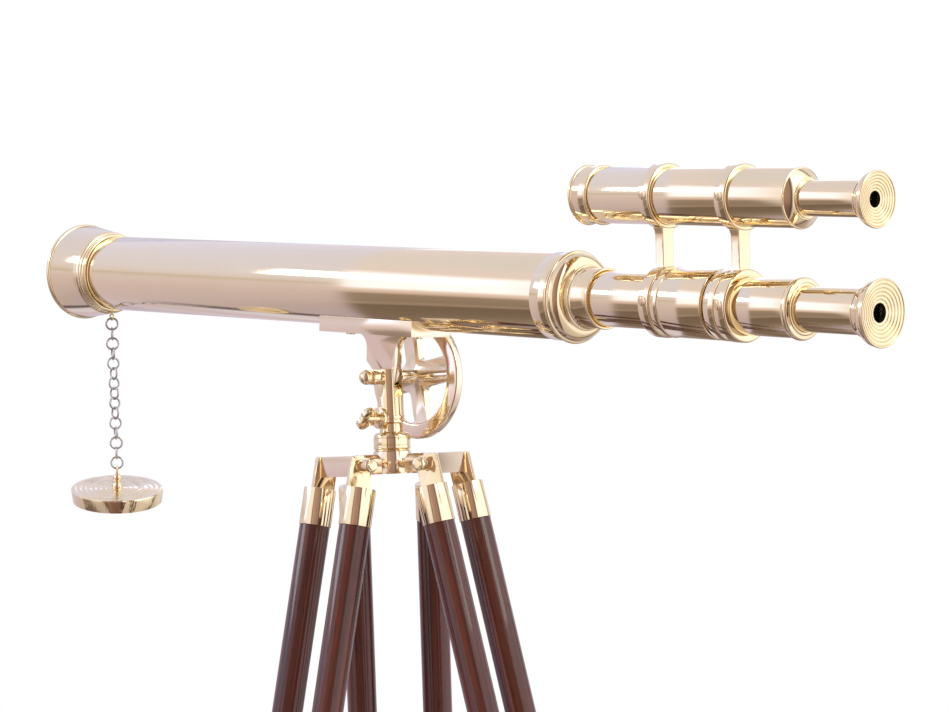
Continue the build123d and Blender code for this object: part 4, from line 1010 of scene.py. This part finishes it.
def bumped(tree, shader, height, strength, distance):
    """Feeds a height through a Bump node to the shader's Normal."""
    bump = add_node(tree, "Bump")
    bump.inputs["Strength"].default_value = strength
    bump.inputs["Distance"].default_value = distance
    tree.links.new(height, bump.inputs["Height"])
    tree.links.new(bump.outputs["Normal"], shader.inputs["Normal"])


def brass(name, rotation, bright, dull, amount, roughness, marks):
    """Polished brass whose lathe marks ring an axis."""
    material, tree, shader, coordinates = new_material(name)
    along = turned_to(tree, coordinates, rotation)
    rings = use_group(tree, lathe_marks, Vector=along, Fineness=1.0)
    patina = use_group(tree, tarnish, Vector=along, Bright=(*bright, 1), Dull=(*dull, 1), Amount=amount)
    point = add_node(tree, "NewGeometry").outputs["Pointiness"]
    wear_and_shade = use_group(tree, edge_wear, Pointiness=point)
    # Painted shade: the hollows are darkened towards brown, where shade would fall.
    painted_hollow_shade = calculate(tree, "MULTIPLY", wear_and_shade["Grime"], 0.75)
    colour = mix_colours(tree, painted_hollow_shade, patina["Color"], painted_groove_shade)
    rubbed = calculate(tree, "MULTIPLY", wear_and_shade["Rubbed"], 0.6)
    colour = mix_colours(tree, rubbed, colour, rubbed_gold)
    tree.links.new(colour, shader.inputs["Base Color"])
    rough = calculate(tree, "ADD", calculate(tree, "ADD", patina["Roughness"], rings["Roughness"]), roughness)
    rough = calculate(tree, "MULTIPLY_ADD", wear_and_shade["Grime"], 0.25, rough)
    tree.links.new(rough, shader.inputs["Roughness"])
    shader.inputs["Metallic"].default_value = 1.0
    bumped(tree, shader, rings["Height"], marks, 0.00002)
    return material


along_tube = (0, -tilt, 0)
along_height = (0, radians(90), 0)
along_width = (0, 0, radians(-90))
# Painted shade: the dark brown that is painted into hollows and grooves.
painted_groove_shade = (0.34, 0.24, 0.12)
rubbed_gold = (0.96, 0.86, 0.66)
gold, amber = (0.90, 0.75, 0.49), (0.80, 0.61, 0.36)
tube_brass = brass("lathe_turned_brass", along_tube, gold, amber, 0.35, 0.055, 0.10)
upright_brass = brass("upright_turned_brass", along_height, gold, amber, 0.45, 0.06, 0.12)
cast_brass = brass("cast_brass", along_height, (0.93, 0.78, 0.60), (0.80, 0.62, 0.42), 0.6, 0.09, 0.06)
screw_brass = brass("screw_brass", along_width, (0.72, 0.56, 0.34), (0.50, 0.36, 0.20), 0.8, 0.16, 0.10)
cross_brass = brass("cross_turned_brass", along_width, gold, amber, 0.5, 0.07, 0.12)
print("kinds of brass: 5, tube marks tilted", round(degrees(tilt), 2), "degrees")

# %% Blackened brass, nearly black and matt, for the insides of the tubes
blackened, tree, shader, coordinates = new_material("blackened_brass")
patches = use_group(tree, tarnish, Vector=coordinates, Bright=(0.035, 0.028, 0.022, 1),
                    Dull=(0.09, 0.055, 0.03, 1), Amount=1.0)
tree.links.new(patches["Color"], shader.inputs["Base Color"])
tree.links.new(calculate(tree, "ADD", patches["Roughness"], 0.45), shader.inputs["Roughness"])
shader.inputs["Metallic"].default_value = 0.3
print("blackened brass:", len(tree.nodes), "nodes")

# %% [markdown]
# ## Mahogany
# The legs are French-polished mahogany: dark red-brown streaks under a clear coat. The grain
# has to follow each leg, so a Mapping node turns the pattern to the leg's own direction,
# which is measured from the top and the foot of its lower rod.


# %% Mahogany
def mahogany(name, rotation):
    """Polished mahogany whose grain runs along one leg."""
    material, tree, shader, coordinates = new_material(name)
    along = turned_to(tree, coordinates, rotation)
    grain = use_group(tree, wood_grain, Vector=along)
    colour = mix_colours(tree, grain["Grain"], (0.036, 0.006, 0.005), (0.125, 0.021, 0.011))
    ribbon = calculate(tree, "MULTIPLY", grain["Figure"], 0.4)
    colour = mix_colours(tree, ribbon, colour, (0.17, 0.042, 0.016))
    colour = mix_colours(tree, grain["Pores"], colour, (0.012, 0.003, 0.003))
    tree.links.new(colour, shader.inputs["Base Color"])
    tree.links.new(calculate(tree, "MULTIPLY_ADD", grain["Pores"], 0.2, 0.32), shader.inputs["Roughness"])
    shader.inputs["Coat Weight"].default_value = 0.6
    shader.inputs["Specular IOR Level"].default_value = 0.25
    shader.inputs["Coat Roughness"].default_value = 0.06
    bumped(tree, shader, grain["Grain"], 0.15, 0.0002)
    return material


end_slice = 0.05


def middle_of(points):
    """The average of some points."""
    return sum(points, Vector()) / len(points)


leg_woods = {}
for leg in leg_names:
    low_rod = points_in(leg + "_lower_rod", Matrix.Identity(4))
    highest = max(point.z for point in low_rod)
    lowest = min(point.z for point in low_rod)
    top = middle_of([point for point in low_rod if point.z > highest - end_slice])
    foot = middle_of([point for point in low_rod if point.z < lowest + end_slice])
    turn_back = (top - foot).to_track_quat("Z", "Y").to_matrix().inverted().to_euler("XYZ")
    leg_woods[leg] = mahogany("mahogany_" + leg, tuple(turn_back))
print("woods:", sorted(leg_woods))

# %% [markdown]
# ## Glass and steel
# The lenses are clear glass with a faint uneven film. The chain is nickel-bright steel that
# has dulled where its rings rub.

# %% Glass and steel
glass, tree, shader, coordinates = new_material("lens_glass")
film = noise(tree, coordinates, 90.0, 3.0, 0.6)
tree.links.new(calculate(tree, "MULTIPLY_ADD", film, 0.05, 0.01), shader.inputs["Roughness"])
tree.links.new(mix_colours(tree, film, (0.97, 0.985, 0.97), (0.93, 0.96, 0.94)), shader.inputs["Base Color"])
shader.inputs["Transmission Weight"].default_value = 1.0
shader.inputs["IOR"].default_value = 1.52

steel, tree, shader, coordinates = new_material("chain_steel")
patches = use_group(tree, tarnish, Vector=coordinates, Bright=(0.62, 0.61, 0.60, 1),
                    Dull=(0.30, 0.28, 0.27, 1), Amount=1.0)
tree.links.new(patches["Color"], shader.inputs["Base Color"])
tree.links.new(calculate(tree, "MULTIPLY_ADD", patches["Roughness"], 2.0, 0.22), shader.inputs["Roughness"])
shader.inputs["Metallic"].default_value = 1.0
print("materials:", len(bpy.data.materials))

# %% [markdown]
# ## Putting the finishes on
# The words in a piece's name choose its material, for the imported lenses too.

# %% Put the finishes on
upright_pieces = ("spindle", "fork_post", "lens_cap", "ferrules", "hinge", "clamp_screw", "foot")
cross_pieces = ("altitude_bolt", "azimuth")
screw_pieces = ("bracket_screws", "saddle_screws")
cast_pieces = ("clamp_wheel", "tripod_head", "yoke", "slider", "saddle")


def material_for(name):
    """The finish that a piece's name calls for."""
    for leg in leg_names:
        if name.startswith(leg) and "rod" in name:
            return leg_woods[leg]
    if "chain" in name and "eyelet" not in name:
        return steel
    if "lens" in name and "cap" not in name and "retaining" not in name:
        return glass
    if any(word in name for word in screw_pieces):
        return screw_brass
    if any(word in name for word in cross_pieces):
        return cross_brass
    if any(word in name for word in upright_pieces):
        return upright_brass
    if any(word in name for word in cast_pieces):
        return cast_brass
    return tube_brass


for name, node in frame["nodes"].items():
    node.data.materials.clear()
    node.data.materials.append(material_for(name))
for piece in pieces:
    piece.data.materials.clear()
    piece.data.materials.append(material_for(piece.name))
print("finished pieces:", len(pieces))

# %% [markdown]
# ## Blackening the insides
# Faces inside a tube look towards its axis, so their normals find them.


# %% Blacken the insides
inward = -0.6


def blacken_inside(piece, axis, reach):
    """Blackens the faces within a radius of the axis that look towards it."""
    inverse = axis.inverted()
    turn = inverse.to_3x3()
    piece.data.materials.append(blackened)
    count = 0
    for face in piece.data.polygons:
        centre = inverse @ face.center
        normal = turn @ face.normal
        out = Vector((0, centre.y, centre.z))
        if 0 < out.length < reach * mm and normal.dot(out.normalized()) < inward:
            face.material_index = 1
            count += 1
    return count


by_name = {piece.name: piece for piece in pieces}
blackened_faces = 0
for name, axis, reach in (
    ("tube_skin", main_axis, 36.5), ("draw_tube_skin", main_axis, 23.0), ("barrel_skin", main_axis, 22.5),
    ("eyepiece_tube_skin", main_axis, 17.5), ("eyepiece_cup_turned", main_axis, 8.2),
    ("finder_tube_skin", finder_axis, 23.2), ("finder_eyepiece_skin", finder_axis, 13.8),
    ("finder_cup_turned", finder_axis, 7.0), ("objective_cell_turned", main_axis, 39.5),
    ("rear_collar_turned", main_axis, 24.0),
):
    blackened_faces += blacken_inside(by_name[name], axis, reach)
print("blackened faces:", blackened_faces)
